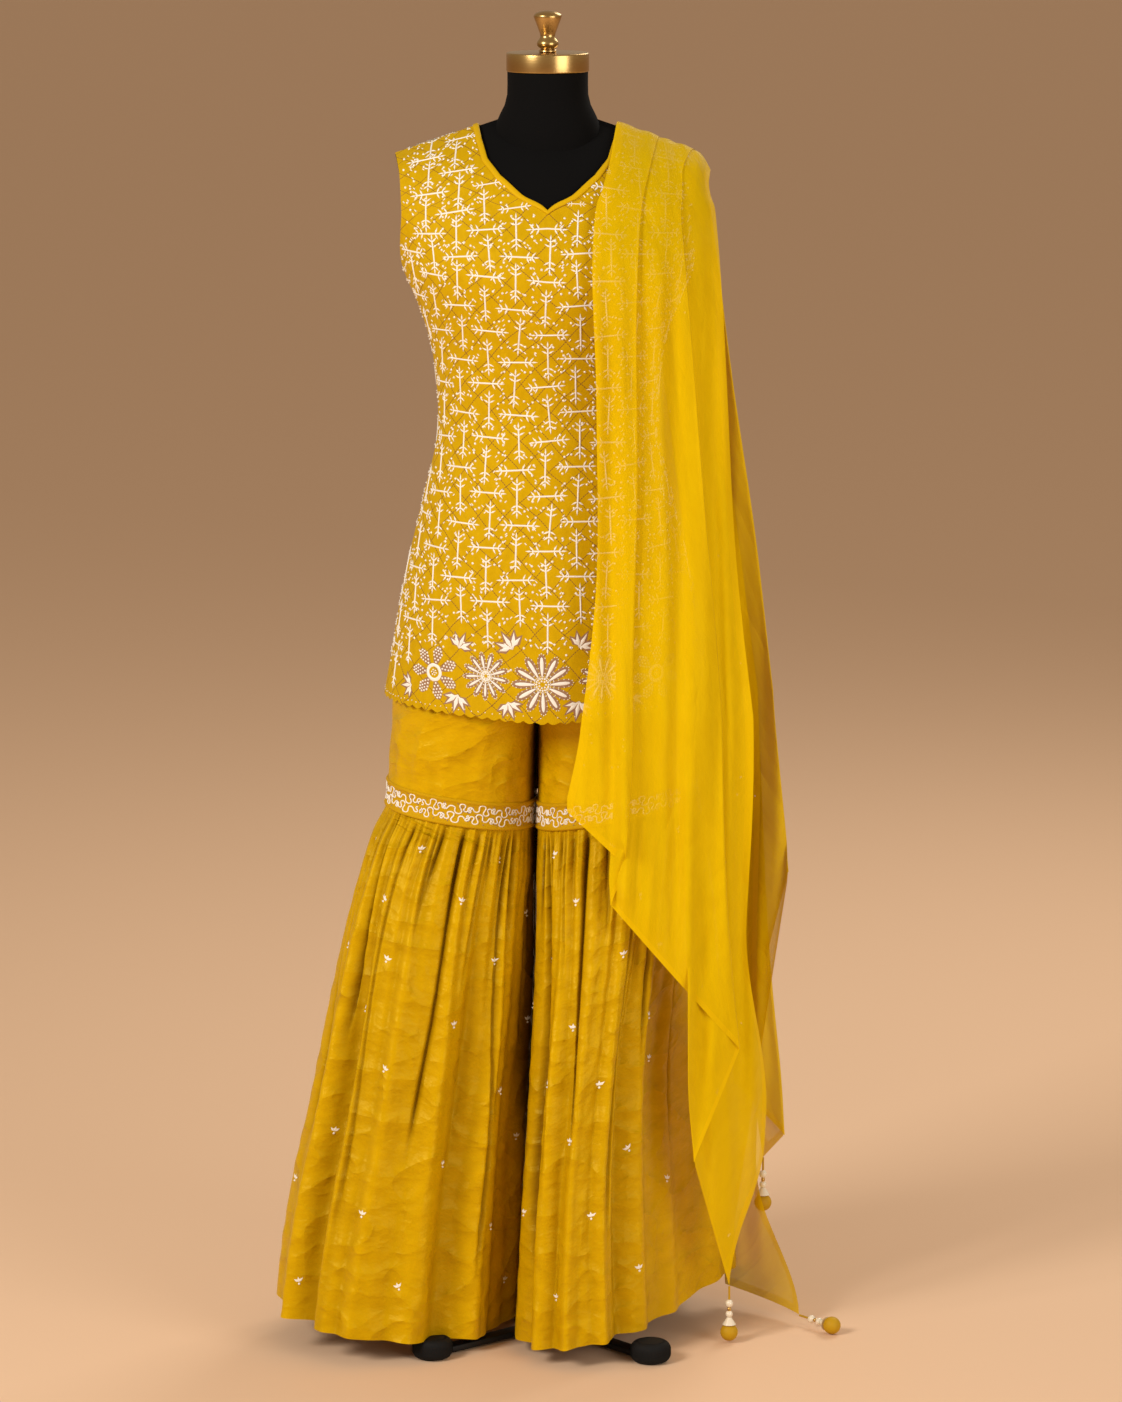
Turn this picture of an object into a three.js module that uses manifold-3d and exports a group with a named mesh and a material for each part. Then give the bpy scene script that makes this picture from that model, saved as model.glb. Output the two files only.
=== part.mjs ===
// A sharara suit on a dress form stand: sleeveless A-line kurti, gathered sharara trousers and a dupatta.
// Millimetres, +Z up, front towards -Y. The form's axis is x = 0, y = 0 until the last lines, which move
// the origin to the middle of the footprint.
import * as THREE from 'three';
import { mergeVertices } from 'three/addons/utils/BufferGeometryUtils.js';
import Module from 'manifold-3d';

const wasm = await Module();
wasm.setup();

const SEAM = 0.3;
const CLOTH = 1.5;
const FLARE_CLOTH = 1.2;
const SCARF_CLOTH = 1.0;
const BAND_CLOTH = 2.6;

const colours = {
  kurti: 0xe0a922, sharara: 0xcc9410, dupatta: 0xf0bc1e, band: 0xd7a43a,
  form: 0x17161a, brass: 0xb08a4a, metal: 0x1b1b1d, rubber: 0x161616, tassel: 0xe6ab1c,
};

// The kurti's surface, half of each row: z on the centre line, its slope outwards, how deep the row
// reaches at the centre, the half width at which its curve would close, the half width where the panel
// ends (side seam or armhole), the half width of the neck opening, and how far inside the form lies.
const KURTI_FRONT = [
  { row: 'hem', z: 757, slope: 0.08, depth: 130, reach: 191, edge: 191, neck: 0, inset: 40 },
  { row: 'thigh', z: 835, slope: 0.04, depth: 124, reach: 179, edge: 179, neck: 0, inset: 36 },
  { row: 'seat', z: 890, slope: 0.02, depth: 121, reach: 170, edge: 170, neck: 0, inset: 22 },
  { row: 'hip', z: 940, slope: 0, depth: 117, reach: 160, edge: 160, neck: 0, inset: 16 },
  { row: 'highHip', z: 1010, slope: 0, depth: 108, reach: 143, edge: 143, neck: 0, inset: 13 },
  { row: 'lowWaist', z: 1068, slope: 0, depth: 100, reach: 129.5, edge: 129.5, neck: 0, inset: 11 },
  { row: 'waist', z: 1115, slope: 0, depth: 97, reach: 127.5, edge: 127.5, neck: 0, inset: 11 },
  { row: 'ribs', z: 1175, slope: 0, depth: 108, reach: 134, edge: 134, neck: 0, inset: 10 },
  { row: 'underBust', z: 1215, slope: 0.02, depth: 120, reach: 146, edge: 146, neck: 0, inset: 9 },
  { row: 'bust', z: 1258, slope: 0.05, depth: 128, reach: 166, edge: 166, neck: 0, inset: 7 },
  { row: 'chest', z: 1298, slope: -0.03, depth: 121, reach: 174, edge: 169.5, neck: 0, inset: 4 },
  { row: 'neckPoint', z: 1343, slope: -0.08, depth: 97, reach: 192, edge: 167.5, neck: 0, inset: 3.4 },
  { row: 'neckLow', z: 1363, slope: -0.111, depth: 87, reach: 199, edge: 167.5, neck: 29, inset: 3.4 },
  { row: 'neckMid', z: 1390, slope: -0.171, depth: 72, reach: 203, edge: 168.5, neck: 54, inset: 3.4 },
  { row: 'neckHigh', z: 1411, slope: -0.184, depth: 52, reach: 208, edge: 170, neck: 69, inset: 3.2 },
  { row: 'yoke', z: 1438, slope: -0.255, depth: 26, reach: 218, edge: 173, neck: 76, inset: 2.8 },
  { row: 'shoulder', z: 1461, slope: -0.34, depth: 0, reach: 220, edge: 175.5, neck: 80, inset: 2.0 },
];
const BACK_DEPTH = {
  hem: 128, thigh: 124, seat: 122, hip: 116, highHip: 104, lowWaist: 90, waist: 86, ribs: 93,
  underBust: 99, bust: 104, chest: 105, neckPoint: 95, neckLow: 89, neckMid: 76, neckHigh: 58,
  yoke: 30, shoulder: 0,
};
const BACK_NECK = { neckHigh: 38, yoke: 66, shoulder: 80 };
const KURTI_BACK = KURTI_FRONT.map((r) => ({ ...r, depth: BACK_DEPTH[r.row], neck: BACK_NECK[r.row] ?? 0 }));
const ROUND = 2.2;
const SHOULDER_DEPTH = 120;
const HALF_PANEL_STEPS = 8;

// The neck binding from the front centre round one side to the back centre: the panel's row (with the
// part of the way to the next one) and half width, at the neck edge and at the binding's far edge.
const BINDING = { thick: 1.2, lift: 1.2 };
const BINDING_FRONT = [
  { row: 11, x: 0, farRow: 10.88, farX: 0 },
  { row: 11.5, x: 14.5, farRow: 11.28, farX: 18 },
  { row: 12, x: 29, farRow: 11.86, farX: 33.7 },
  { row: 13, x: 54, farRow: 12.89, farX: 59 },
  { row: 14, x: 69, farRow: 13.93, farX: 74.7 },
  { row: 15, x: 76, farRow: 15, farX: 82 },
  { row: 16, x: 80, farRow: 16, farX: 86 },
];
const BINDING_BACK = [
  { row: 15, x: 66, farRow: 14.9, farX: 71.5 },
  { row: 14, x: 38, farRow: 13.84, farX: 42 },
  { row: 13.5, x: 19, farRow: 13.31, farX: 21 },
  { row: 13, x: 0, farRow: 12.81, farX: 0 },
];

// The black form inside: its last two rows below the hips, and its neck.
const FORM_TAIL = [
  { z: 812, wide: 118, front: 80, back: 84 },
  { z: 850, wide: 138, front: 94, back: 99 },
];
const FORM_NECK = [
  { z: 1300, wide: 50, front: 50, back: 50 },
  { z: 1400, wide: 60, front: 51, back: 50 },
  { z: 1428, wide: 62, front: 52, back: 50 },
  { z: 1446, wide: 55, front: 50, back: 49 },
  { z: 1456, wide: 49.5, front: 48.5, back: 48 },
  { z: 1468, wide: 46.5, front: 46.5, back: 46.5 },
  { z: 1494, wide: 46.5, front: 46.5, back: 46.5 },
];
const CAP = { radius: 47.5, low: 1494.3, high: 1516, bevel: 1.2 };
const FINIAL = [
  [0, 0], [9.4, 0], [10.4, 2], [8.2, 4], [11.8, 7], [12.4, 9.8], [11.4, 13], [8.8, 17], [8.6, 20],
  [11, 26], [14.2, 35], [16, 40], [15.6, 43], [10, 46], [0, 47.6],
];

const POLE_RADIUS = 8;
const HUB = { radius: 19, low: 2.5, high: 58 };
const FOOT = { count: 4, reach: 181, turn: -3.5, radius: 23 };
const FOOT_PROFILE = [[0, 0], [12, 0], [20, 3.5], [23, 10], [22, 17], [16.5, 22.6], [8, 25], [0, 25]];
const ARM = { wide: 18, low: 2.5, high: 10, chamfer: 2 };

// Trousers above the crotch, shared by both halves, inside the kurti.
const SEAT_ROWS = [
  { z: 1075, wide: 120.6, front: 92.5, back: 82.5 },
  { z: 1010, wide: 133.5, front: 100.5, back: 96.5 },
  { z: 940, wide: 150, front: 108, back: 108 },
  { z: 870, wide: 166, front: 112, back: 114 },
  { z: 792, wide: 178, front: 113, back: 116 },
];
const CROTCH_Z = 792;
const SEAM_X = -11.5;
const WAISTBAND = { low: 1075.3, high: 1103, wide: 120.4, front: 91.4, back: 80.6 };

// One leg from the crotch to the hem, as seen on the wearer's side away from the other leg: the outer
// edge, the outer edge behind, the middle of its front and back, and its depths. x is signed.
const LEG_LEFT = [
  { z: 792, outer: -178, outerBack: -178, middle: -16, inner: -11.65, front: 113, back: 116 },
  { z: 762, outer: -181, outerBack: -181, middle: -60, inner: -13, front: 104, back: 106 },
  { z: 720, outer: -183, outerBack: -183, middle: -95, inner: -14.5, front: 92, back: 92 },
  { z: 660, outer: -186, outerBack: -186, middle: -102, inner: -15.4, front: 80, back: 79 },
  { z: 630, outer: -188, outerBack: -188, middle: -103, inner: -15.4, front: 80, back: 79 },
  { z: 594, outer: -204, outerBack: -204, middle: -108, inner: -14.2, front: 92, back: 90 },
  { z: 537, outer: -221, outerBack: -221, middle: -118, inner: -14, front: 107, back: 103 },
  { z: 474, outer: -237, outerBack: -237, middle: -127, inner: -14.2, front: 120, back: 114 },
  { z: 400, outer: -253, outerBack: -253, middle: -136, inner: -16.4, front: 131, back: 124 },
  { z: 329, outer: -267, outerBack: -267, middle: -146, inner: -19.4, front: 140, back: 132 },
  { z: 259, outer: -281, outerBack: -281, middle: -156, inner: -22.4, front: 147, back: 138 },
  { z: 190, outer: -297, outerBack: -297, middle: -166, inner: -26.4, front: 153, back: 144 },
  { z: 105, outer: -312, outerBack: -312, middle: -176, inner: -30.6, front: 160, back: 150 },
  { z: 36, outer: -320, outerBack: -320, middle: -183, inner: -34.6, front: 166, back: 155 },
];
const LEG_RIGHT = [
  { z: 792, outer: 178, outerBack: 178, middle: -7, inner: -11.35, front: 113, back: 116 },
  { z: 762, outer: 180, outerBack: 180, middle: 45, inner: -11.35, front: 104, back: 106 },
  { z: 720, outer: 179, outerBack: 179, middle: 75, inner: -11.35, front: 92, back: 92 },
  { z: 660, outer: 174, outerBack: 174, middle: 80, inner: -11.35, front: 80, back: 79 },
  { z: 630, outer: 172, outerBack: 172, middle: 80, inner: -11.35, front: 80, back: 79 },
  { z: 594, outer: 170, outerBack: 184, middle: 84, inner: -11.35, front: 93, back: 90 },
  { z: 537, outer: 166, outerBack: 194, middle: 86, inner: -11.5, front: 110, back: 103 },
  { z: 474, outer: 162, outerBack: 203, middle: 85, inner: -12, front: 126, back: 114 },
  { z: 400, outer: 158, outerBack: 212, middle: 81, inner: -14, front: 142, back: 124 },
  { z: 329, outer: 155, outerBack: 219, middle: 77, inner: -17, front: 154, back: 132 },
  { z: 259, outer: 156, outerBack: 225, middle: 72, inner: -20, front: 163, back: 138 },
  { z: 190, outer: 159, outerBack: 231, middle: 68, inner: -24, front: 170, back: 144 },
  { z: 105, outer: 164, outerBack: 236, middle: 65, inner: -28, front: 177, back: 150 },
  { z: 36, outer: 168, outerBack: 239, middle: 65, inner: -32, front: 183, back: 155 },
];
const LEG_COLUMNS = 64;
const TROUSER_COLUMNS = 32;
const POLE_SIDE = { from: 146, most: 1.6 };
const LEAN = { start: 792, full: 560, share: 0.2 };
const TILT = [{ z: 36, rise: 0.11 }, { z: 330, rise: 0.15 }, { z: 645, rise: 0.165 }, { z: 792, rise: 0 }];
const BAND = { low: 630, high: 659 };
const TROUSER_ROWS = [1075, 1010, 940, 870, 830, 792, 772, 745, 700, 659.3];
const FLARE_ROWS = [629.7, 594, 540, 470, 390, 310, 220, 125, 36];

// Gathers run round each flare as one crest and one trough for every two columns. Folds are wider
// valleys that open towards the hem; angles are from the outer side, negative towards the front.
const GATHER = [{ z: 36, deep: 7 }, { z: 329, deep: 6 }, { z: 594, deep: 5 }, { z: 629.7, deep: 2.6 }];
const FOLDS_LEFT = [
  { at: -22, width: 9, deep: 16 }, { at: -52, width: 8, deep: 34 }, { at: -74, width: 9, deep: 14 },
  { at: -98, width: 8, deep: 15 }, { at: -126, width: 9, deep: 26 }, { at: -160, width: 10, deep: 14 },
  { at: 20, width: 11, deep: 22 }, { at: 52, width: 9, deep: 26 }, { at: 84, width: 11, deep: 18 },
  { at: 118, width: 10, deep: 24 }, { at: 150, width: 10, deep: 14 },
];
const FOLDS_RIGHT = [
  { at: -30, width: 9, deep: 16 }, { at: -56, width: 8, deep: 22 }, { at: -82, width: 9, deep: 15 },
  { at: -108, width: 8, deep: 20 }, { at: -138, width: 9, deep: 18 }, { at: -164, width: 9, deep: 8 },
  { at: 18, width: 10, deep: 24 }, { at: 50, width: 9, deep: 26 }, { at: 80, width: 11, deep: 18 },
  { at: 114, width: 10, deep: 24 }, { at: 148, width: 10, deep: 12 },
];

// The dupatta hangs in strips between fold lines. Each line has its x at the stations below, and the
// place of its lower end. Even lines fold to the left, odd lines to the right, and the first and last are
// the cloth's own edges.
const SCARF_RIDGE = [80, 128, 92, 164, 110, 174];
const SCARF_FRONT = [
  { line: 'innerEdge', yoke: 72, high: 63, collar: 54, chest: 50, waist: 53, hip: 57, hem: 38,
    tipX: 22, tipZ: 660 },
  { line: 'firstFold', yoke: 118, high: 110, collar: 106, chest: 102, waist: 100, hip: 100, hem: 100,
    tipX: 90, tipZ: 594 },
  { line: 'secondFold', yoke: 88, high: 86, collar: 86, chest: 84, waist: 82, hip: 79, hem: 76,
    tipX: 72, tipZ: 548 },
  { line: 'thirdFold', yoke: 150, high: 152, collar: 153, chest: 159, waist: 172, hip: 186, hem: 198,
    tipX: 224, tipZ: 366 },
  { line: 'fourthFold', yoke: 106, high: 112, collar: 118, chest: 124, waist: 132, hip: 142, hem: 150,
    tipX: 170, tipZ: 236 },
  { line: 'outerEdge', yoke: 180, high: 187, collar: 191, chest: 197, waist: 207, hip: 220, hem: 236,
    tipX: 214, tipZ: 69 },
];
const SCARF_BACK = [
  { line: 'innerEdge', yoke: 84, high: 88, collar: 92, chest: 104, waist: 122, hip: 146, hem: 172,
    tipX: 259, tipZ: 183 },
  { line: 'firstFold', yoke: 134, high: 142, collar: 150, chest: 168, waist: 192, hip: 226, hem: 250,
    tipX: 284, tipZ: 216 },
  { line: 'secondFold', yoke: 96, high: 100, collar: 106, chest: 120, waist: 138, hip: 160, hem: 184,
    tipX: 224, tipZ: 272 },
  { line: 'thirdFold', yoke: 175, high: 183, collar: 190, chest: 200, waist: 218, hip: 246, hem: 266,
    tipX: 286, tipZ: 541 },
  { line: 'fourthFold', yoke: 112, high: 116, collar: 122, chest: 136, waist: 154, hip: 176, hem: 198,
    tipX: 232, tipZ: 420 },
  { line: 'outerEdge', yoke: 173, high: 179, collar: 184, chest: 190, waist: 202, hip: 228, hem: 248,
    tipX: 300, tipZ: 12 },
];
// Stations down the scarf: height on the axis, slope with x, depth in front or behind, the half width
// where that curve closes, the way its layers pile up (0 outwards, 90 upwards), and the gap between them.
const FRONT_STATIONS = [
  { at: 'yoke', z: 1411, slope: -0.184, depth: 52, reach: 208, lean: 42, gap: 0.6 },
  { at: 'high', z: 1375, slope: -0.14, depth: 83, reach: 204, lean: 25, gap: 0.8 },
  { at: 'collar', z: 1343, slope: -0.08, depth: 98, reach: 206, lean: 10, gap: 1.2 },
  { at: 'chest', z: 1262, slope: 0, depth: 129, reach: 222, lean: 0, gap: 2 },
  { at: 'waist', z: 1115, slope: 0, depth: 122, reach: 248, lean: 0, gap: 3 },
  { at: 'hip', z: 930, slope: 0, depth: 126, reach: 266, lean: 0, gap: 3.4 },
  { at: 'hem', z: 757, slope: 0, depth: 136, reach: 280, lean: 0, gap: 3.6 },
];
const BACK_STATIONS = [
  { at: 'yoke', z: 1411, slope: -0.184, depth: 58, reach: 208, lean: 42, gap: 0.6 },
  { at: 'high', z: 1375, slope: -0.14, depth: 87, reach: 206, lean: 25, gap: 0.8 },
  { at: 'collar', z: 1343, slope: -0.08, depth: 99, reach: 206, lean: 10, gap: 1.2 },
  { at: 'chest', z: 1262, slope: 0, depth: 110, reach: 236, lean: 0, gap: 2 },
  { at: 'waist', z: 1115, slope: 0, depth: 108, reach: 266, lean: 0, gap: 3 },
  { at: 'hip', z: 930, slope: 0, depth: 121, reach: 292, lean: 0, gap: 3.4 },
  { at: 'hem', z: 757, slope: 0, depth: 134, reach: 316, lean: 0, gap: 3.6 },
];
const RIDGE_STATIONS = [
  { at: 'frontYoke', side: -1, z: 1438, slope: -0.255, depth: 26, reach: 218, lean: 66, gap: 0.5 },
  { at: 'ridge', side: -1, z: 1461, slope: -0.34, depth: 0, reach: 220, lean: 90, gap: 0.5 },
  { at: 'backYoke', side: 1, z: 1438, slope: -0.255, depth: 30, reach: 218, lean: 66, gap: 0.5 },
];
const STRIP_STEPS = 3;
const SCARF_LEAD = 1.0;
const SCARF_LAYERS = SCARF_FRONT.length - 1;
const FOLD_TURN = 1.8;

// A corner tassel from its cord down to the foot of its ball: radius and distance below the corner.
const TASSEL = [
  [0, 0], [1.3, 0], [1.3, -16], [4.2, -18], [4.8, -20.8], [4.2, -23.6], [1.6, -25.4], [2.4, -27.2],
  [1.6, -29], [3.9, -31], [4.4, -33.8], [3.9, -36.4], [2.6, -38.2], [8, -45.6], [8.6, -47],
  [10.2, -51.5], [10.7, -56], [9.8, -60.8], [6.2, -65], [0, -66.6],
];
const TASSEL_LYING = { turn: 41, x: 0.5, y: -1, z: 11 };

const v = (x, y, z) => new THREE.Vector3(x, y, z);
const mix = (a, b, t) => a + (b - a) * t;
const rad = (degrees) => degrees * Math.PI / 180;
const clamp01 = (t) => Math.min(1, Math.max(0, t));
const smooth = (t) => clamp01(t) ** 2 * (3 - 2 * clamp01(t));
const superPower = (value, power) => Math.sign(value) * Math.abs(value) ** power;

// Reads a table of rows at a height, with a smooth curve through the rows.
function readAt(table, z) {
  const rows = [...table].sort((a, b) => a.z - b.z);
  const keys = Object.keys(rows[0]).filter((k) => typeof rows[0][k] === 'number');
  const last = rows.length - 1;
  let i = rows.findIndex((r) => r.z >= z);
  i = Math.min(last, Math.max(1, i < 0 ? last : i));
  const [a, b] = [rows[i - 1], rows[i]];
  const span = b.z - a.z;
  const t = clamp01((z - a.z) / span);
  const slopeAt = (k, n) => {
    const [p, q] = [rows[Math.max(0, n - 1)], rows[Math.min(last, n + 1)]];
    return (q[k] - p[k]) / (q.z - p.z);
  };
  const read = {};
  for (const k of keys) {
    const [h1, h2] = [slopeAt(k, i - 1) * span, slopeAt(k, i) * span];
    read[k] = a[k] * (2 * t ** 3 - 3 * t ** 2 + 1) + b[k] * (3 * t ** 2 - 2 * t ** 3)
      + h1 * (t ** 3 - 2 * t ** 2 + t) + h2 * (t ** 3 - t ** 2);
  }
  read.z = z;
  return read;
}

function meshFrom(points, triangles) {
  const geometry = new THREE.BufferGeometry();
  geometry.setAttribute('position', new THREE.Float32BufferAttribute(points.flatMap((p) => p.toArray()), 3));
  geometry.setIndex(triangles.flat());
  return geometry;
}

// Gives equal points one number, so that faces share them.
function shareCorners(points, faces) {
  const known = new Map();
  const kept = [];
  const number = points.map((p) => {
    const key = p.toArray().map((c) => Math.round(c * 1000)).join(' ');
    if (!known.has(key)) {
      known.set(key, kept.length);
      kept.push(p);
    }
    return known.get(key);
  });
  const shared = faces
    .map((f) => f.map((i) => number[i]).filter((n, k, all) => n !== all[(k + 1) % all.length]))
    .filter((f) => f.length > 2);
  return { points: kept, faces: shared };
}

const fan = (face) => face.slice(2).map((_, k) => [face[0], face[k + 1], face[k + 2]]);

// Mean direction of the faces at each point.
function pointNormals(points, faces) {
  const normals = points.map(() => v(0, 0, 0));
  for (const f of faces) {
    const n = v(0, 0, 0);
    for (const [a, b, c] of fan(f)) {
      n.add(points[b].clone().sub(points[a]).cross(points[c].clone().sub(points[a])));
    }
    n.normalize();
    for (const i of f) normals[i].add(n);
  }
  return normals.map((n) => n.normalize());
}

// Turns a sheet of faces, seen from outside, into a closed wall. straighten may turn the direction of
// the thickness at a seam, so that two panels end in the same plane.
function wall(sheetPoints, sheetFaces, thickness, straighten = (n) => n) {
  const { points, faces } = shareCorners(sheetPoints, sheetFaces);
  const normals = pointNormals(points, faces);
  const inner = points.map((p, i) => (
    p.clone().addScaledVector(straighten(normals[i], p).normalize(), -thickness)
  ));
  const edges = new Map();
  for (const f of faces) {
    f.forEach((a, k) => {
      const b = f[(k + 1) % f.length];
      edges.set(`${a} ${b}`, [a, b]);
    });
  }
  const far = points.length;
  const triangles = [];
  for (const f of faces) {
    for (const t of fan(f)) triangles.push(t, [t[2] + far, t[1] + far, t[0] + far]);
  }
  for (const [a, b] of edges.values()) {
    if (!edges.has(`${b} ${a}`)) triangles.push([b, a, a + far], [b, a + far, b + far]);
  }
  return meshFrom([...points, ...inner], triangles);
}

// Faces of a grid of points; rows run upwards and columns to the right, seen from outside.
function gridFaces(rows, columns, closed = false, keep = () => true) {
  const faces = [];
  for (let r = 0; r < rows - 1; r++) {
    for (let c = 0; c < (closed ? columns : columns - 1); c++) {
      const [low, high] = [r * columns, (r + 1) * columns];
      const d = (c + 1) % columns;
      if (keep(r, c)) faces.push([low + c, low + d, high + d, high + c]);
    }
  }
  return faces;
}

const group = new THREE.Group();
const finishes = {
  kurti: [0.75, 0], sharara: [0.55, 0], dupatta: [0.6, 0], band: [0.7, 0], form: [0.85, 0],
  brass: [0.3, 1], metal: [0.4, 0.6], rubber: [0.8, 0], tassel: [0.6, 0],
};
function add(name, geometry, finish) {
  const [roughness, metalness] = finishes[finish];
  const material = new THREE.MeshStandardMaterial({ color: colours[finish], roughness, metalness });
  const mesh = new THREE.Mesh(geometry, material);
  mesh.name = name;
  group.add(mesh);
  return mesh;
}

// A point of the kurti's surface at a half width x of a row, on the front (side -1) or back (side 1),
// moved in by inset.
function bodyPoint(row, x, side, inset = 0) {
  const reach = row.reach - inset;
  const depth = Math.max(row.depth - inset, 0);
  const share = Math.min(1, x / reach);
  const y = SEAM / 2 + depth * (1 - share ** ROUND) ** (1 / ROUND);
  const down = inset * (1 - Math.min(1, row.depth / SHOULDER_DEPTH));
  return v(x, side * y, row.z + row.slope * x - down);
}

// Half widths along one row from the neck or centre line out to its edge, closer together where the
// row turns back.
function rowWidths(row, steps) {
  const angleOf = (x) => Math.asin(Math.min(1, x / row.reach) ** (ROUND / 2));
  const [from, to] = [angleOf(row.neck), angleOf(row.edge)];
  return Array.from({ length: steps + 1 }, (_, k) => (
    row.reach * Math.sin(mix(from, to, k / steps)) ** (2 / ROUND)
  ));
}

// Front or back of the kurti: both halves of every row, joined on the centre line below the neck.
function kurtiPanel(name, table, side) {
  const points = [];
  const faces = [];
  for (const hand of [-1, 1]) {
    const start = points.length;
    for (const row of table) {
      for (const x of rowWidths(row, HALF_PANEL_STEPS)) {
        const p = bodyPoint(row, x, side);
        points.push(v(hand * p.x, p.y, p.z));
      }
    }
    const half = gridFaces(table.length, HALF_PANEL_STEPS + 1);
    const turned = hand * side > 0;
    for (const f of half) faces.push((turned ? f.reverse() : f).map((i) => i + start));
  }
  const atSeam = (p) => Math.abs(p.y) < SEAM;
  const straighten = (n, p) => (atSeam(p) ? n.setY(0) : n);
  add(name, wall(points, faces, CLOTH, straighten), 'kurti');
}

// Bias binding round the neck: a closed strip that lies on the edge of both panels.
function neckBinding() {
  const at = (table, side, row, x) => {
    const n = Math.min(table.length - 2, Math.floor(row));
    return bodyPoint(table[n], x, side).lerp(bodyPoint(table[n + 1], x, side), row - n);
  };
  const pairs = (table, side, path) => path.map((p) => (
    [at(table, side, p.row, p.x), at(table, side, p.farRow, p.farX)]
  ));
  const right = [...pairs(KURTI_FRONT, -1, BINDING_FRONT), ...pairs(KURTI_BACK, 1, BINDING_BACK)];
  const left = right.slice(1, -1).reverse().map((pair) => pair.map((p) => v(-p.x, p.y, p.z)));
  const round = [...right, ...left];
  const points = [...round.map(([, far]) => far), ...round.map(([near]) => near)];
  const faces = gridFaces(2, round.length, true);
  const out = BINDING.lift + BINDING.thick;
  const lifted = pointNormals(points, faces).map((n, i) => points[i].clone().addScaledVector(n, out));
  add('neck_binding', wall(lifted, faces, BINDING.thick), 'kurti');
}

// Ring of the form at one row, from the front centre round its left side and back again.
function formRing(front, back) {
  const right = [];
  const steps = 7;
  const arc = (row, side) => {
    const reach = row.reach - row.inset;
    const edge = row.edge === row.reach ? reach : row.edge;
    const widths = rowWidths({ ...row, reach, edge, neck: 0 }, steps);
    return widths.map((x) => bodyPoint(row, x, side, row.inset));
  };
  const frontArc = arc(front, -1);
  const backArc = arc(back, 1).reverse();
  right.push(...frontArc);
  const [a, b] = [frontArc[steps], backArc[0]];
  if (front.edge !== front.reach && front.depth > 0) {
    const bulge = 2.6;
    for (const t of [0.15, 0.5, 0.85]) {
      right.push(v(mix(a.x, b.x, t) + bulge * 4 * t * (1 - t), mix(a.y, b.y, t), a.z));
    }
  } else {
    for (const t of [0.25, 0.5, 0.75]) right.push(v(a.x, mix(a.y, b.y, t), a.z));
  }
  right.push(...backArc);
  const left = right.slice(1, -1).reverse().map((p) => v(-p.x, p.y, p.z));
  return [...right, ...left];
}

function tailRing(row, columns, power = 2 / ROUND) {
  return Array.from({ length: columns }, (_, k) => {
    const a = 2 * Math.PI * k / columns;
    const deep = Math.cos(a) > 0 ? row.front : row.back;
    return v(row.wide * superPower(Math.sin(a), power), -deep * superPower(Math.cos(a), power), row.z);
  });
}

function solidOf(geometry) {
  const bare = geometry.clone();
  bare.deleteAttribute('normal');
  bare.deleteAttribute('uv');
  const merged = mergeVertices(bare, 1e-4);
  return new wasm.Manifold(new wasm.Mesh({
    numProp: 3,
    vertProperties: new Float32Array(merged.attributes.position.array),
    triVerts: new Uint32Array(merged.index.array),
  }));
}

function geometryOf(solid) {
  const mesh = solid.getMesh();
  const geometry = new THREE.BufferGeometry();
  geometry.setAttribute('position', new THREE.BufferAttribute(new Float32Array(mesh.vertProperties), 3));
  geometry.setIndex(new THREE.BufferAttribute(new Uint32Array(mesh.triVerts), 1));
  return geometry;
}

function lathe(profile, segments, lift = 0) {
  const points = profile.map(([r, z]) => new THREE.Vector2(r, z + lift));
  return new THREE.LatheGeometry(points, segments).rotateX(Math.PI / 2);
}

// Closed solid from rings with the same number of points, from the lowest up.
function stack(rings) {
  const columns = rings[0].length;
  const points = rings.flat();
  const faces = gridFaces(rings.length, columns, true);
  const middleOf = (ring) => ring.reduce((s, p) => s.add(p), v(0, 0, 0)).divideScalar(columns);
  const low = points.push(middleOf(rings[0])) - 1;
  const high = points.push(middleOf(rings.at(-1))) - 1;
  const top = (rings.length - 1) * columns;
  for (let c = 0; c < columns; c++) {
    const d = (c + 1) % columns;
    faces.push([low, d, c], [high, top + c, top + d]);
  }
  const shared = shareCorners(points, faces);
  return meshFrom(shared.points, shared.faces.flatMap(fan));
}

function dressForm() {
  const rows = KURTI_FRONT.map((r, i) => [r, KURTI_BACK[i]]).filter(([r]) => r.z >= 940);
  const rings = rows.map(([front, back]) => formRing(front, back));
  const columns = rings[0].length;
  const tail = FORM_TAIL.map((r) => tailRing(r, columns));
  // Rows of the tail start at the front centre as the others do and run the same way round.
  const torso = solidOf(stack([...tail, ...rings.slice(0, -1), ridgeRing(rows.at(-1)[0], rings.at(-2))]));
  const neck = solidOf(stack(FORM_NECK.map((row) => tailRing(row, 28, 1))));
  add('form_torso', geometryOf(torso.add(neck)), 'form');
  const { radius, low, high, bevel } = CAP;
  add('neck_cap', lathe([
    [0, low], [radius - bevel, low], [radius, low + bevel], [radius, high - bevel],
    [radius - bevel, high - 0.2], [0, high],
  ], 28), 'brass');
  add('finial', lathe(FINIAL, 14, high + SEAM), 'brass');
}

// The top row closes on the shoulder ridge, under the kurti's shoulder seam.
function ridgeRing(row, below) {
  return below.map((p) => {
    const x = Math.min(Math.abs(p.x), row.edge - 2);
    return v(Math.sign(p.x) * x, 0, row.z + row.slope * x - row.inset);
  });
}

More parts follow.
